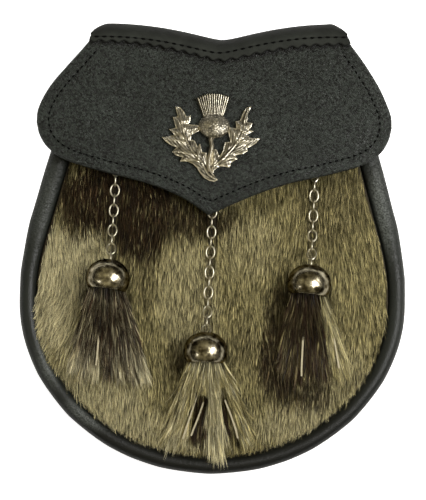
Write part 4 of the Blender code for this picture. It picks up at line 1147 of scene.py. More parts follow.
def makeFur():
    rng = np.random.default_rng(fur["seed"])
    tries = int(fur["tufts"] * fur["triesPerTuft"])
    x, y = rng.uniform(*fur["fieldX"], tries), rng.uniform(*fur["fieldY"], tries)
    footY = np.interp(x, footRow[:, 0], footRow[:, 1])
    inside = (outwards(x, y, rollWidth(y)) < fur["rootInside"]) & (y < footY + fur["underFlap"])
    x, y = x[inside][: fur["tufts"]], y[inside][: fur["tufts"]]
    tufts = len(x)
    # combed straight down with slow swirls, and splayed over the roll on the left
    outer, lower, upper = fur["leftZone"]
    leftward = smoothStep(-x, *outer) * smoothStep(y, *lower) * (1 - smoothStep(y, *upper))
    rightward = smoothStep(x, *fur["rightZone"])
    wide, narrow = fur["swirls"]
    swirl = wide * np.sin(x * 95 + 1.3) * np.cos(y * 70) + narrow * np.sin(x * 310 + y * 160)
    left, right = fur["splayed"]
    stray = rng.normal(0, fur["lean"], tufts) * (1 + leftward)
    angle = np.radians(swirl - left * leftward + right * rightward + stray)
    length = rng.uniform(*fur["length"], tufts) * (1 + fur["longerLeft"] * leftward)
    low, high = fur["height"]
    height = low + (high - low) * rng.random(tufts) ** 1.5
    tone = np.exp(rng.normal(*fur["tuftTone"], tufts))
    # the chains and bells press the fur flat where they lie, and the fur beside them is painted darker as
    # their shadow
    roots = np.stack([x, y], 1)
    beside = np.min([distanceTo(roots, line) for line in chainLines], axis=0)
    pressedAndShaded = 1 - smoothStep(beside, *fur["pressedNear"])
    height *= 1 - fur["pressedHeight"] * pressedAndShaded
    tone *= 1 - fur["paintedChainShadow"] * pressedAndShaded
    # and the fur is dark close to a bell, where little light comes in
    besideBell = np.min([distanceTo(roots, line) for line in bellLines], axis=0) - cap["radius"]
    tone *= 1 - fur["bellShade"] * (1 - smoothStep(besideBell, 0.0, fur["bellShadeReach"]))
    blurX, blurY = fur["patchBlur"]
    dark, pale = (
        patchField(x + rng.normal(0, blurX, tufts), y + rng.normal(0, blurY, tufts), fur[kind])
        for kind in ("dark", "pale")
    )
    dark *= np.where(rng.random(tufts) < fur["strayShare"], rng.uniform(*fur["strayTone"], tufts), 1)
    # ragged lower ends: few tufts reach over the roll, and upper left they stop short of it
    outer, lower = fur["shortZone"]
    short = smoothStep(-x, *outer) * smoothStep(y, *lower)
    ends = fur["ends"]
    reach = rng.normal(0, ends["ragged"], tufts) + ends["inside"]
    reach = reach - ends["overLeft"] * leftward + ends["shortUpperLeft"] * short
    # hairs of a tuft start apart and meet at its tip
    each = np.repeat(np.arange(tufts), fur["hairsPerTuft"])
    count = len(each)
    rootX = x[each] + rng.normal(0, fur["spread"], count)
    rootY = y[each] + rng.normal(0, 2.2 * fur["spread"], count)
    run = length[each] * rng.uniform(0.7, 1.1, count)
    lean = angle[each] + rng.normal(0, fur["hairLean"], count)
    tipX = x[each] + run * np.sin(lean) + rng.normal(0, fur["gather"], count)
    tipY = y[each] - run * np.cos(lean)
    out = outwards(rootX, rootY, rollWidth(rootY) + reach[each])
    over = outwards(tipX, tipY, rollWidth(tipY) + reach[each])
    trim = np.where(over > 1, np.clip((1.0 - out) / np.maximum(over - out, 1e-6), fur["shortest"], 1), 1)
    tipX, tipY = rootX + (tipX - rootX) * trim, rootY + (tipY - rootY) * trim
    lift = height[each] * rng.uniform(0.8, 1.1, count) * (0.5 + 0.5 * trim)
    rootZ = frontHeight(rootX, rootY) - fur["rootSunk"]
    tipZ = np.maximum(frontHeight(tipX, tipY) + lift, rollTop(tipX, tipY) + fur["overRoll"])
    stations = np.stack([np.stack([rootX, rootY, rootZ], 1), np.stack([tipX, tipY, tipZ], 1)], 1)
    widths = (fur["width"] * rng.uniform(0.7, 1.4, count))[:, None]
    warm = np.clip(pale[each] + rng.normal(0, 0.10, count), 0, 1)[:, None]
    darkPatchAndShadow = np.clip(dark[each] + rng.normal(0, 0.06, count), 0, 1)[:, None]
    colour = hue(fur["midColour"]) * (1 - warm) + hue(fur["paleColour"]) * warm
    colour = colour * (1 - darkPatchAndShadow) + hue(fur["darkColour"]) * darkPatchAndShadow
    own = (tone[each] * np.exp(rng.normal(0, fur["hairTone"], count)))[:, None]
    # the brighter a hair is, the greyer it is too
    grey = fur["greyShare"] * np.clip(own - fur["greyFrom"], 0, 1)
    colour = own * (colour * (1 - grey) + colour[:, :2].mean(1, keepdims=True) * grey)
    colours = keptHue(np.stack([colour * fur["rootShade"], colour * fur["tipShade"]], 1))
    rolls = rng.uniform(0, 2 * math.pi, count)
    order = np.argsort(rootX)
    for number, part in enumerate(np.array_split(order, fur["pieces"]), 1):
        piece = hairMesh("sealFur_%d" % number, stations[part], widths[part], colours[part], rolls[part])
        finished(piece, sealHair, smoothAngle=0)


# the line of each chain and its bell
bellLines = [
    np.array([(capFrame(tassel) @ Vector((0, y, 0)))[:2] for y in cap["middleLine"]])
    for tassel in tassels
]
chainLines = [
    np.concatenate([bell[1:], [place[:2] for place in chainPlaces(tassel)]])
    for bell, tassel in zip(bellLines, tassels)
]
makeFur()
print("fur made")

# tassel fur: strips of hide in two layers, each with hair along it, and pale cut edges where a strip lies on
# its side; paleHairs are (share of the paler hairs, how much paler, how many lie together), and turnsPale is
# where along a strip its root tone goes over to its tip tone
tasselFur = {
    "head": {"radius": 0.0074, "length": 0.0082, "y": -0.0016},
    "strip": {"width": 0.0050, "share": 0.86, "wall": 0.0012, "crown": 0.0004},
    "mouthReach": 0.0068,
    "start": -0.0056,
    "level": 0.0026,
    "thickness": 0.0017,
    "hairs": 8100,
    "hairsPerLock": 3,
    "fromMouth": 0.16,
    "lastRoot": 0.84,
    "lockAcross": 0.0012,
    "length": (0.009, 0.018),
    "width": 0.00031,
    "spread": 0.00014,
    "drift": (0.0008, 0.0003, 0.40),
    "ends": (1.02, 0.05),
    "mouthLift": (-0.0006, 0.0026),
    "puff": (0.0001, 0.0023, 0.0003),
    "rootShade": (0.35, 0.85),
    "paleHairs": {"left": (0.25, 1.05, 1), "middle": (0.20, 0.85, 3), "right": (0.10, 0.45, 3)},
    "turnsPale": {"left": (0.64, 0.98), "middle": (0.60, 1.0), "right": (0.60, 1.0)},
    "stripTone": 0.12,
    "mostTone": 1.6,
    "lockTone": (-0.08, 0.6),
    "hairTone": 0.22,
    "rootSunk": 0.0004,
    "dark": "#302318",
    "tan": {"left": "#968c6d", "middle": "#a4996a", "right": "#a4996a"},
    "cream": {"left": "#e6deb9", "middle": "#ebe2bc", "right": "#ebe2bc"},
    "seed": 7,
}
# strips are (angle, across at the mouth, length, layer, tone at the root, tone at the tip), and a tone is 0
# for dark, 1 for tan and 2 for cream
strips = {
    "left": ((-12, -1.0, 0.96, 1, 0.06, 1.45), (-8, -0.7, 1.0, 1, 0.06, 1.1), (-4, -0.35, 1.0, 1, 0.05, 1.4),
             (1, 0.0, 0.98, 1, 0.02, 0.1), (6, 0.3, 1.0, 1, 0.05, 0.9), (11, 0.65, 1.02, 1, 0.06, 0.4),
             (16, 1.0, 1.02, 1, 0.08, 1.45), (-6, -0.5, 0.9, -1, 0.0, 0.3), (3, 0.1, 0.9, -1, 0.0, 0.1),
             (12, 0.6, 0.9, -1, 0.0, 0.3)),
    "middle": ((-16, -1.0, 0.96, 1, 1.0, 1.3), (-14, -0.7, 1.0, 1, 1.3, 1.6), (-12, -0.35, 0.96, 1, 1.1, 1.3),
               (-5, 0.0, 0.38, 1, 1.3, 0.9), (-4, -0.1, 0.88, -1, 0.0, 0.0), (0, 0.1, 0.88, -1, 0.0, 0.0),
               (3, 0.35, 1.08, 1, 1.4, 1.6), (5, 0.6, 1.10, 1, 1.4, 1.6), (9, 0.8, 0.30, 1, 1.1, 0.7),
               (12, 0.8, 0.88, -1, 0.0, 0.0), (19, 0.85, 0.98, 1, 0.7, 0.9), (22, 1.0, 0.96, 1, 0.8, 1.0)),
    "right": ((-8, -1.0, 0.90, 1, 0.06, 0.08), (-4, -0.65, 0.94, 1, 0.03, 0.05),
              (0, -0.3, 0.96, 1, 0.0, 0.03), (4, 0.05, 0.96, 1, 0.0, 0.03), (8, 0.4, 0.94, 1, 0.02, 0.05),
              (14, 0.85, 0.95, 1, 1.1, 1.0), (17, 1.0, 0.92, 1, 1.15, 1.0), (-3, -0.4, 0.9, -1, 0.0, 0.0),
              (4, 0.1, 0.9, -1, 0.0, 0.0), (10, 0.6, 0.9, -1, 0.0, 0.0)),
}
hideEdge = {"width": 0.0008, "depth": 0.0026, "curve": 0.0006, "rise": 0.0022}
# cut edges are (x, y) of both ends and the height above the fur
cutEdges = {
    "left": (((-0.0553, -0.0345), (-0.0568, -0.0582), 0.0056),),
    "middle": (((-0.0050, -0.0632), (-0.0130, -0.0936), 0.0060),
               ((-0.0042, -0.0755), (-0.0088, -0.0920), 0.0048),
               ((0.0072, -0.0742), (0.0133, -0.0928), 0.0056)),
    "right": (((0.0446, -0.0343), (0.0449, -0.0617), 0.0060), ((0.0573, -0.0355), (0.0629, -0.0575), 0.0056)),
}


def stripPath(tassel, strip, across, share, mouth=0.0):
    # place along a strip: share is 0 at the cap's mouth and 1 at its end, across is metres off its middle
    # line, and mouth lifts the root inside the cap
    angle, root, length, layer = strip[:4]
    inCap = Vector((tasselFur["mouthReach"] * root, tasselFur["start"], 0))
    start = capFrame(tassel) @ inCap
    bearing = math.radians(angle)
    run = tassel["reach"] * length * share
    widen = across * (0.5 + 0.5 * np.clip(share * 1.6, 0, 1))
    x = start.x + run * math.sin(bearing) + widen * math.cos(bearing)
    y = start.y - run * math.cos(bearing) + widen * math.sin(bearing)
    room = math.sqrt(max(0.15, 1 - root**2))
    rest = tasselFur["thickness"] * (1.7 if layer > 0 else 0.6) * (0.55 + 0.45 * room) + pouch["gap"]
    floor = np.maximum(frontHeight(x, y), rollTop(x, y)) + rest
    top = start.z + tasselFur["level"] * layer * room + mouth * room
    return x, y, np.maximum(floor, top + (floor - top) * smoothStep(share * length, 0.02, 0.70))


def makeTassel(tassel):
    rng = np.random.default_rng(tasselFur["seed"] + len(tassel["side"]))
    name = tassel["side"]
    # the hide strips themselves, laid from the head in the cap
    deselectAll()
    core, cut = tasselFur["head"], tasselFur["strip"]
    bpy.ops.mesh.primitive_cylinder_add(vertices=32, radius=core["radius"], depth=core["length"])
    head = bpy.context.object
    inCap = Matrix.Translation((0, core["y"], 0)) @ Matrix.Rotation(math.pi / 2, 4, "X")
    head.data.transform(capFrame(tassel) @ inCap)
    bases = [head]
    for strip in strips[name]:
        def place(u, v, strip=strip):
            width = cut["width"] * (0.6 + 0.5 * np.sin(math.pi * np.clip(v, 0, 0.8)))
            x, y, z = stripPath(tassel, strip, (u - 0.5) * width, v * cut["share"])
            return x, y, z - cut["crown"] * (2 * u - 1) ** 2

        sheet = laidGrid("strip", 4, 16, place)
        facingUp(sheet)
        withModifier(sheet, "SOLIDIFY", thickness=cut["wall"], offset=-1)
        bases.append(sheet)
    finished(joined("tasselStrips_" + name, bases), hide, ["tassel_" + name])
    # the hair on the strips grows in locks: some leave the mouth, the rest start along the strip
    stations, widths, colours = [], [], []
    locks = tasselFur["hairs"] // len(strips[name]) // tasselFur["hairsPerLock"]
    each = np.repeat(np.arange(locks), tasselFur["hairsPerLock"])
    count = len(each)
    along = np.array([0.0, 0.5, 1.0])
    for strip in strips[name]:
        fromMouth = rng.random(locks) < tasselFur["fromMouth"]
        share = np.where(fromMouth, 0.0, rng.uniform(0.0, tasselFur["lastRoot"], locks))[each]
        across = rng.normal(0, tasselFur["lockAcross"], locks)[each]
        across = across + rng.normal(0, tasselFur["spread"], count)
        lengths = rng.uniform(*tasselFur["length"], locks)[each] * rng.uniform(0.85, 1.05, count)
        lockDrift, hairDrift, outDrift = tasselFur["drift"]
        drift = rng.normal(0, lockDrift, locks)[each] + rng.normal(0, hairDrift, count) + across * outDrift
        last, ragged = tasselFur["ends"]
        last = last + rng.normal(0, ragged, locks)[each]
        end = np.minimum(share + lengths / (tassel["reach"] * strip[2]), last)
        mouth = rng.uniform(*tasselFur["mouthLift"], locks)[each]
        low, high, own = tasselFur["puff"]
        puff = rng.uniform(low, high, locks)[each] + rng.uniform(0, own, count)
        rows = []
        for t in along:
            x, y, z = stripPath(tassel, strip, across + drift * t**1.5, share + (end - share) * t, mouth)
            rows.append(np.stack([x, y, z + puff * t**0.5 - tasselFur["rootSunk"] * (1 - t)], 1))
        stations.append(np.stack(rows, 1))
        paleShare, paleTone, together = tasselFur["paleHairs"][name]
        pale = np.repeat(rng.random(-(-count // together)) < paleShare, together)[:count]
        thick = tasselFur["width"] * rng.uniform(0.7, 1.3, count)
        widths.append(np.outer(thick, (0.9, 0.8)))
        position = share[:, None] + (end - share)[:, None] * along[None, :]
        tone = strip[4] + (strip[5] - strip[4]) * smoothStep(position, *tasselFur["turnsPale"][name])
        tone = tone + rng.normal(0, tasselFur["stripTone"], locks)[each][:, None]
        tone = np.clip(tone + np.where(pale, paleTone, 0.0)[:, None], 0, tasselFur["mostTone"])[:, :, None]
        colour = hue(tasselFur["dark"]) * np.clip(1 - tone, 0, 1)
        colour = colour + hue(tasselFur["tan"][name]) * np.clip(np.minimum(tone, 2 - tone), 0, 1)
        colour = colour + hue(tasselFur["cream"][name]) * np.clip(tone - 1, 0, 1)
        dark, gain = tasselFur["rootShade"]
        rootShade = (dark + gain * along)[None, :, None]
        own = rng.normal(*tasselFur["lockTone"], locks)[each] + rng.normal(0, tasselFur["hairTone"], count)
        own = np.exp(own)
        colours.append(keptHue(colour * rootShade * own[:, None, None]))
    stations, widths, colours = np.concatenate(stations), np.concatenate(widths), np.concatenate(colours)
    rolls = rng.uniform(0, 6.28, len(stations))
    piece = hairMesh("tasselHair_" + name, stations, widths, colours, rolls)
    finished(piece, tasselHair, smoothAngle=0)
    # cut edges: strips that stand on edge between the hair
    edges = []
    for top, foot, lift in cutEdges[name]:
        top, foot = np.array(top), np.array(foot)
        cross = np.array([foot[1] - top[1], top[0] - foot[0]]) / np.linalg.norm(foot - top)

        def place(u, v, top=top, foot=foot, cross=cross, lift=lift):
            offset = (u - 0.5) * hideEdge["width"] + hideEdge["curve"] * np.sin(2.6 * v + top[0] * 400)
            x = top[0] + (foot[0] - top[0]) * v + cross[0] * offset
            y = top[1] + (foot[1] - top[1]) * v + cross[1] * offset
            return x, y, np.maximum(frontHeight(x, y), rollTop(x, y)) + lift + hideEdge["rise"] * (1 - v) ** 2

        sheet = laidGrid("cutEdge", 2, 24, place)
        facingUp(sheet)
        withModifier(sheet, "SOLIDIFY", thickness=hideEdge["depth"], offset=-1)
        edges.append(sheet)
    finished(joined("hideEdges_" + name, edges), cutEdge)


for tassel in tassels:
    makeTassel(tassel)
print("tassels made")

# badge, in millimetres right of and above its middle: leaves rise from a thin bright edge to a fluted body
# with a fine midrib
badge = {
    "centre": (-0.0015, 0.0552),
    "gap": 0.0010,
    "leafEdge": 0.6,
    "leafBody": 1.6,
    "leftLeaf": ((3.1, -21.7), (1.3, -22.5), (-0.9, -22.1), (-3.6, -20.7), (-5.7, -18.2), (-7.2, -15.8),
                 (-9.2, -13.9), (-11.6, -12.9), (-15.6, -12.8), (-14.4, -10.8), (-17.6, -9.9), (-19.6, -8.2),
                 (-17.2, -6.0), (-20.1, -5.0), (-22.6, -3.3), (-24.6, -1.1), (-18.2, -0.1), (-21.2, 2.9),
                 (-17.8, 3.6), (-19.4, 8.9), (-16.9, 9.2), (-18.3, 14.0), (-16.0, 13.7), (-14.0, 11.6),
                 (-12.8, 9.2), (-10.6, 9.9), (-11.0, 6.7), (-12.1, 5.4), (-6.0, 5.0), (-6.2, 2.4),
                 (-10.2, 0.3), (-10.6, -2.1), (-8.4, -2.6), (-7.1, -5.5), (-5.9, -3.9), (-4.8, -8.2),
                 (-2.6, -8.4), (-2.3, -14.3), (-0.3, -17.7), (1.0, -18.9)),
    "leftRib": ((1.5, -21.0), (-1.8, -18.6), (-5.0, -13.0), (-10.3, -6.6), (-13.8, 1.1), (-15.3, 8.0),
                (-16.7, 12.5)),
    "rightLeaf": ((-0.5, -17.2), (0.0, -6.4), (2.3, -6.8), (3.8, -10.2), (5.7, -6.8), (6.4, -3.3),
                  (9.1, -2.8), (7.8, 2.2), (8.0, 4.6), (11.8, 3.7), (11.3, 7.3), (13.5, 7.7), (15.2, 12.1),
                  (16.9, 14.1), (18.9, 15.0), (18.1, 12.6), (17.3, 10.1), (17.0, 6.9), (19.6, 6.7),
                  (19.0, 4.3), (17.5, 3.5), (20.3, 2.7), (16.9, 0.7), (18.6, -0.6), (23.5, -0.7),
                  (21.6, -3.3), (19.2, -5.0), (17.2, -5.6), (17.5, -7.3), (15.3, -8.6), (11.4, -9.4),
                  (12.5, -11.2), (9.5, -12.9), (8.8, -15.5), (6.1, -14.9), (3.6, -15.0), (1.9, -16.4),
                  (0.7, -18.4)),
    "rightRib": ((0.6, -15.7), (5.7, -11.0), (10.4, -5.7), (13.8, -0.8), (15.4, 3.7), (16.0, 8.5),
                 (17.3, 12.8)),
    "stem": ((-0.5, 2.0), (-0.5, -2.3), (0.0, -5.2), (-0.6, -8.5), (-1.25, -11.8), (-1.3, -15.1),
             (-0.6, -17.6)),
    "stemRadius": 1.1,
    "ball": {"x": 0.9, "y": 4.8, "halfWidth": 7.4, "halfHeight": 6.0, "middle": 1.0, "rise": 4.4,
             "scale": 1.25, "lump": 0.035, "lowest": -0.2},
    "crownFoot": ((-4.4, 8.6), (0.5, 9.6), (5.4, 8.7)),
    "crownTop": ((-8.3, 18.0), (-4.1, 19.9), (0.3, 20.7), (4.7, 20.3), (8.8, 18.8)),
    "crownRibs": 15,
    "crownGrid": (120, 24),
    "crownBase": 1.3,
    "crownArch": 0.7,
    "crownSlope": 0.7,
    "crownUneven": (0.035, 0.015),
    "ribHeight": 0.5,
    "flutePitch": 1.35,
    "fluteSlant": 0.45,
    "fluteDepth": 0.14,
    "toothAngle": 95,
    "swell": (0.60, 0.85),
    "midrib": (0.40, 0.36),
    "groove": (0.30, 0.28),
    "grooveFromRib": 0.8,
    "rim": (0.30, 0.4),
    "spacing": 0.30,
}


def onFlap(piece):
    # from millimetres round the badge's middle to its place, bent to the flap under it
    for vertex in piece.data.vertices:
        x = vertex.co.x / 1000 + badge["centre"][0]
        y = vertex.co.y / 1000 + badge["centre"][1]
        vertex.co = (x, y, vertex.co.z / 1000 + float(flapHeight(x, y)) + badge["gap"])
    piece.data.update()


def ridge(away, height, width):
    return height * np.exp(-((away / width) ** 2))


def makeLeaf(name, outline, rib, lift):
    outline, rib = np.array(outline), curveThrough(rib, 40)
    closed = np.concatenate([outline, outline[:1]])
    count = max(3, int(np.linalg.norm(np.diff(closed, axis=0), axis=1).sum() / badge["spacing"]))
    edge = resampled(closed, count + 1)[:-1]
    low, high = outline.min(0), outline.max(0)
    grid = np.stack(np.meshgrid(*(np.arange(low[k], high[k], badge["spacing"]) for k in (0, 1))), -1)
    grid[1::2, :, 0] += badge["spacing"] / 2
    grid = grid.reshape(-1, 2)
    away = distanceTo(grid, closed)
    # even-odd test for the points inside the outline
    inside = np.zeros(len(grid), bool)
    for a, b in zip(closed, closed[1:]):
        crosses = (a[1] > grid[:, 1]) != (b[1] > grid[:, 1])
        at = a[0] + (grid[:, 1] - a[1]) * (b[0] - a[0]) / (b[1] - a[1] if b[1] != a[1] else 1e-9)
        inside ^= crosses & (grid[:, 0] < at)
    grid = grid[inside & (away > badge["spacing"] * 0.5)]
    places = [Vector(point) for point in np.concatenate([edge, grid])]
    flat, _, triangles, *_ = delaunay_2d_cdt(places, [], [tuple(range(len(edge)))], 1, 1e-6)
    flat = np.array([tuple(point) for point in flat])
    # the blade swells towards each tooth, and fine flutes run forward from the midrib
    before, after = np.roll(outline, 1, axis=0) - outline, np.roll(outline, -1, axis=0) - outline
    lengths = np.linalg.norm(before, axis=1) * np.linalg.norm(after, axis=1)
    turn = np.degrees(np.arccos(np.clip((before * after).sum(1) / lengths, -1, 1)))
    area = (outline[:, 0] * np.roll(outline[:, 1], -1) - outline[:, 1] * np.roll(outline[:, 0], -1)).sum()
    convex = (before[:, 1] * after[:, 0] - before[:, 0] * after[:, 1]) * np.sign(area) > 0
    swells = np.full(len(flat), np.inf)
    for tooth in outline[(turn < badge["toothAngle"]) & convex]:
        nearest = int(np.argmin(np.linalg.norm(rib - tooth, axis=1)))
        foot = rib[max(0, nearest - 6)]
        bent = (foot * 0.45 + tooth * 0.55) + (0.2, 0.3)
        swells = np.minimum(swells, distanceTo(flat, np.array([foot, bent, tooth])))
    fromEdge, fromRib = distanceTo(flat, closed), distanceTo(flat, rib)
    fineRib = resampled(rib, 400)
    nearest = np.linalg.norm(flat[:, None] - fineRib[None], axis=2).argmin(1)
    along = nearest * np.linalg.norm(np.diff(fineRib, axis=0), axis=1).mean()
    body = badge["leafEdge"] + badge["leafBody"] * smoothStep(fromEdge, -0.4, 2.6)
    flutes = np.cos(2 * math.pi * (fromRib - badge["fluteSlant"] * along) / badge["flutePitch"])
    flutes = flutes * badge["fluteDepth"] * smoothStep(fromRib, 0.7, 1.5)
    swelling = ridge(swells, *badge["swell"])
    midrib = ridge(fromRib, *badge["midrib"]) - ridge(fromRib - badge["grooveFromRib"], *badge["groove"])
    rim = ridge(fromEdge, *badge["rim"])
    detail = swelling + flutes + midrib
    height = body + detail * (0.3 + 0.7 * smoothStep(fromEdge, 0.0, 0.8)) + rim
    total = len(flat)
    points = [(x, y, 0.0) for x, y in flat] + [(x, y, z + lift) for (x, y), z in zip(flat, height)]
    faces = [tuple(reversed(face)) for face in triangles]
    faces += [tuple(corner + total for corner in face) for face in triangles]
    seen = {(face[i], face[(i + 1) % 3]) for face in triangles for i in range(3)}
    faces += [(a, b, b + total, a + total) for a, b in seen if (b, a) not in seen]
    mesh = bpy.data.meshes.new(name)
    mesh.from_pydata(points, [], faces)
    piece = newPiece(name, mesh)
    bright = np.clip(0.50 + 1.1 * midrib + 1.2 * flutes + 0.55 * swelling + 1.1 * rim, 0, 1)
    setValues(piece, "relief", np.concatenate([np.zeros(total), bright]))
    return piece


def makeCrown():
    columns, rows = badge["crownGrid"]
    foot, top = curveThrough(badge["crownFoot"], columns + 1), curveThrough(badge["crownTop"], columns + 1)
    ribs = badge["crownRibs"]

    def place(u, v):
        i = np.rint(u * columns).astype(int)
        wave = np.abs(np.cos(math.pi * ribs * u))
        ragged, uneven = badge["crownUneven"]
        reach = 1 + ragged * wave - uneven * np.sin(i * 0.71 + 1.1)
        x = foot[i, 0] + (top[i, 0] - foot[i, 0]) * v * reach
        y = foot[i, 1] + (top[i, 1] - foot[i, 1]) * v * reach
        # the edges come down to the back
        skirt = np.clip(np.minimum(np.minimum(u, 1 - u) * 40, np.minimum(v, 1 - v) * rows), 0, 1) ** 0.5
        ribbed = badge["ribHeight"] * wave * (0.5 + 0.5 * v)
        arched = badge["crownArch"] * np.sin(math.pi * u)
        return x, y, (badge["crownBase"] + ribbed + arched + badge["crownSlope"] * v) * skirt

    outer = laidGrid("crownFace", columns, rows, place)
    share = np.tile(np.linspace(0, 1, columns + 1), rows + 1)
    bright = np.abs(np.cos(math.pi * ribs * share)) * 1.5 - 0.6 + 0.25 * np.sin(share * 37)
    setValues(outer, "relief", np.clip(bright, 0, 0.85))
    back = laidGrid("crownBack", columns, rows, lambda u, v: (*place(u, v)[:2], np.zeros_like(u)))
    setValues(back, "relief", np.zeros(len(back.data.vertices)))
    piece = joined("crown", [outer, back])
    mergedOutwards(piece, 1e-4)
    return piece


def makeBall():
    # a head of small close scales, each a low lump
    ball = badge["ball"]
    deselectAll()
    bpy.ops.mesh.primitive_ico_sphere_add(subdivisions=6, radius=1)
    piece = bpy.context.object
    relief = []
    for vertex in piece.data.vertices:
        x, y, z = vertex.co
        spot = Vector((x * ball["halfWidth"], y * ball["halfHeight"], z * ball["rise"])) / ball["scale"]
        near = noise.voronoi(spot)[0]
        lump = min(1.0, (near[1] - near[0]) * 2.2)
        relief.append(0.30 + 0.42 * lump)
        size = 1 + ball["lump"] * lump
        flat = max(z, ball["lowest"])
        vertex.co = (
            ball["x"] + x * ball["halfWidth"] * size,
            ball["y"] + y * ball["halfHeight"] * size,
            ball["middle"] + flat * ball["rise"] * size,
        )
    setValues(piece, "relief", relief)
    return piece


def makeStem():
    path = curveThrough(badge["stem"], 25)

    def place(u, v):
        i = np.rint(v * 24).astype(int)
        angle = 2 * math.pi * u
        radius = badge["stemRadius"] * (1 + 0.12 * np.cos(angle * 4)) * (1 - 0.25 * (1 - v) ** 3)
        return path[i, 0] + radius * np.sin(angle), path[i, 1] + 0 * v, 1.1 + radius * np.cos(angle) * 1.1

    # 24 steps along the stem and round it
    piece = laidGrid("stem", 24, 24, place)
    setValues(piece, "relief", np.full(len(piece.data.vertices), 0.68))
    mergedOutwards(piece, 1e-4)
    inEditMode(piece, (bpy.ops.mesh.select_all, {"action": "DESELECT"}),
               (bpy.ops.mesh.select_non_manifold, {}), (bpy.ops.mesh.edge_face_add, {}))
    return piece


def makeBadge():
    parts = [
        makeLeaf("leftLeaf", badge["leftLeaf"], badge["leftRib"], 0.0),
        makeLeaf("rightLeaf", badge["rightLeaf"], badge["rightRib"], 0.15),
        makeStem(),
        makeBall(),
        makeCrown(),
    ]
    piece = joined("thistleCasting", parts)
    onFlap(piece)
    return finished(piece, antique, ["thistle_badge"], 60)


makeBadge()
print("badge made")


def softenedCopy(node, name, finish, width, segments=2):
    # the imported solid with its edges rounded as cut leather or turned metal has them
    copy = placedCopy(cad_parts[node], name, Matrix.Identity(4))
    for modifier in list(copy.modifiers):
        copy.modifiers.remove(modifier)
    inEditMode(copy, (bpy.ops.mesh.remove_doubles, {"threshold": 1e-6}),
               (bpy.ops.mesh.tris_convert_to_quads, {}))
    withModifier(copy, "BEVEL", width=width, segments=segments, limit_method="ANGLE",
                 angle_limit=math.radians(40))
    return finished(copy, finish, [node], 40)


# belt loops: a row of stitches above and below each tunnel, on the back of its foot
loop = {
    "x": {"left": -0.038, "right": 0.038},
    "seamY": {"lower": 0.0375, "upper": 0.0745},
    "seamHalf": 0.0072,
    "footWall": 0.0018,
    "stitchPitch": 0.0026,
    "stitch": (0.0020, 0.0008),
}


def loopFoot(x, y):
    return pouch["backFace"] - pouch["gap"] - loop["footWall"] + 0 * x


softenedCopy("back_panel", "backLeather", calf, 0.0006)
for side, x in loop["x"].items():
    softenedCopy("belt_loop_" + side, "beltLoopLeather_" + side, calf, 0.0004)
    for end, y in loop["seamY"].items():
        line = np.array([(x - loop["seamHalf"], y), (x + loop["seamHalf"], y)])
        name = "loopStitches_%s_%s" % (side, end)
        stitches(name, line, loop["stitchPitch"], *loop["stitch"], loopFoot, 0.0)
softenedCopy("snap_stud", "snapStudMetal", wire, 0.0004)
for tassel in tassels:
    softenedCopy("chain_anchor_" + tassel["side"], "chainAnchorMetal_" + tassel["side"], wire,
                 0.0001)
print("back, loops and fittings made")

# light table as floor: bright white all over
deselectAll()
bpy.ops.mesh.primitive_plane_add(size=8, location=(0, 0, -0.0002))
floor = bpy.context.object
floor.name = "floor"
table, tableShader = newFinish("litAcrylicTable", "#f4f4f2", Roughness=0.6, Emission_Strength=0.95)
tableShader.inputs["Emission Color"].default_value = (1, 1, 1, 1)
# the metal mirrors see the table dimmer than the camera does
ray = addNode(table, "LightPath", {})
glow = addNode(table, "MapRange", {"Value": ray.outputs["Is Glossy Ray"], "To Min": 0.95, "To Max": 0.1})
feed(table, tableShader, {"Emission Strength": glow})
floor.data.materials.append(table)

# one soft round light high on the right, a broad one from above the top edge, and a warm room round it
studio = {
    "keyPlace": (0.74, 0.10, 1.07),
    "keySize": (0.62, 0.74),
    "keyPower": 13.0,
    "topPlace": (-0.28, 1.15, 0.86),
    "topSize": 0.45,
    "topPower": 12.0,
    "lampPlace": (-0.70, -0.27, 0.65),
    "lampSize": 0.09,
    "lampPower": 0.6,
    "roomLow": "#17150f",
    "roomHigh": "#a69e80",
    "roomStrength": 1.0,
    "roomSoftLight": 0.5,
}


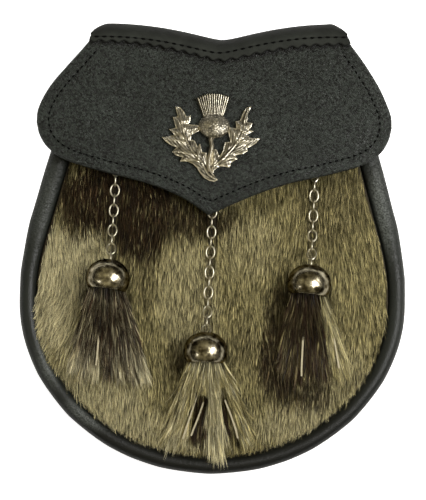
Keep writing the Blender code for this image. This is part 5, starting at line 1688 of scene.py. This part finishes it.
def areaLight(name, place, size, power, shape="ELLIPSE"):
    bpy.ops.object.light_add(type="AREA", location=place)
    light = bpy.context.object
    light.name = name
    light.data.shape = shape
    light.data.size, light.data.size_y = size
    light.data.energy = power
    light.rotation_euler = (-Vector(place)).to_track_quat("-Z", "Y").to_euler()
    return light


areaLight("softbox", studio["keyPlace"], studio["keySize"], studio["keyPower"])
topFill = areaLight("topFill", studio["topPlace"], (studio["topSize"], studio["topSize"]), studio["topPower"])
topFill.visible_glossy = False
areaLight("lamp", studio["lampPlace"], (studio["lampSize"], studio["lampSize"]), studio["lampPower"])

room = bpy.data.worlds.new("room")
bpy.context.scene.world = room
room.use_nodes = True
spot = addNode(room, "TexCoord", {})
height = addNode(room, "SeparateXYZ", {"Vector": spot.outputs["Generated"]})
rise = addNode(room, "MapRange", {"Value": height.outputs["Z"], "From Min": 0.15, "From Max": 0.9})
air = addNode(room, "Mix", {0: rise, 6: linear(studio["roomLow"]), 7: linear(studio["roomHigh"])},
              data_type="RGBA")
seen = addNode(room, "LightPath", {})
# the matt surfaces get less of the room than the metal mirrors
softer = addNode(room, "MapRange",
                 {"Value": seen.outputs["Is Diffuse Ray"], "To Min": studio["roomStrength"],
                  "To Max": studio["roomSoftLight"]})
shown = addNode(room, "Mix", {0: seen.outputs["Is Camera Ray"], 6: air, 7: (1, 1, 1, 1)}, data_type="RGBA")
feed(room, room.node_tree.nodes["Background"], {"Color": shown, "Strength": softer})

# the camera looks straight down at the front from far away, turned one degree as the photograph is
view = {"place": (-0.00011, -0.00074), "frameHeight": 0.2455, "lens": 800, "turn": 1.0, "sharpHeight": 0.024}
bpy.ops.object.camera_add()
camera = bpy.context.object
camera.data.lens = view["lens"]
away = view["frameHeight"] / 2 / (camera.data.sensor_width / 2 / view["lens"])
camera.location = (*view["place"], view["sharpHeight"] + away)
camera.rotation_euler = (0, 0, math.radians(view["turn"]))
camera.data.clip_end = 30
bpy.context.scene.camera = camera
bpy.context.scene.view_settings.view_transform = "Standard"
print("light and camera set")
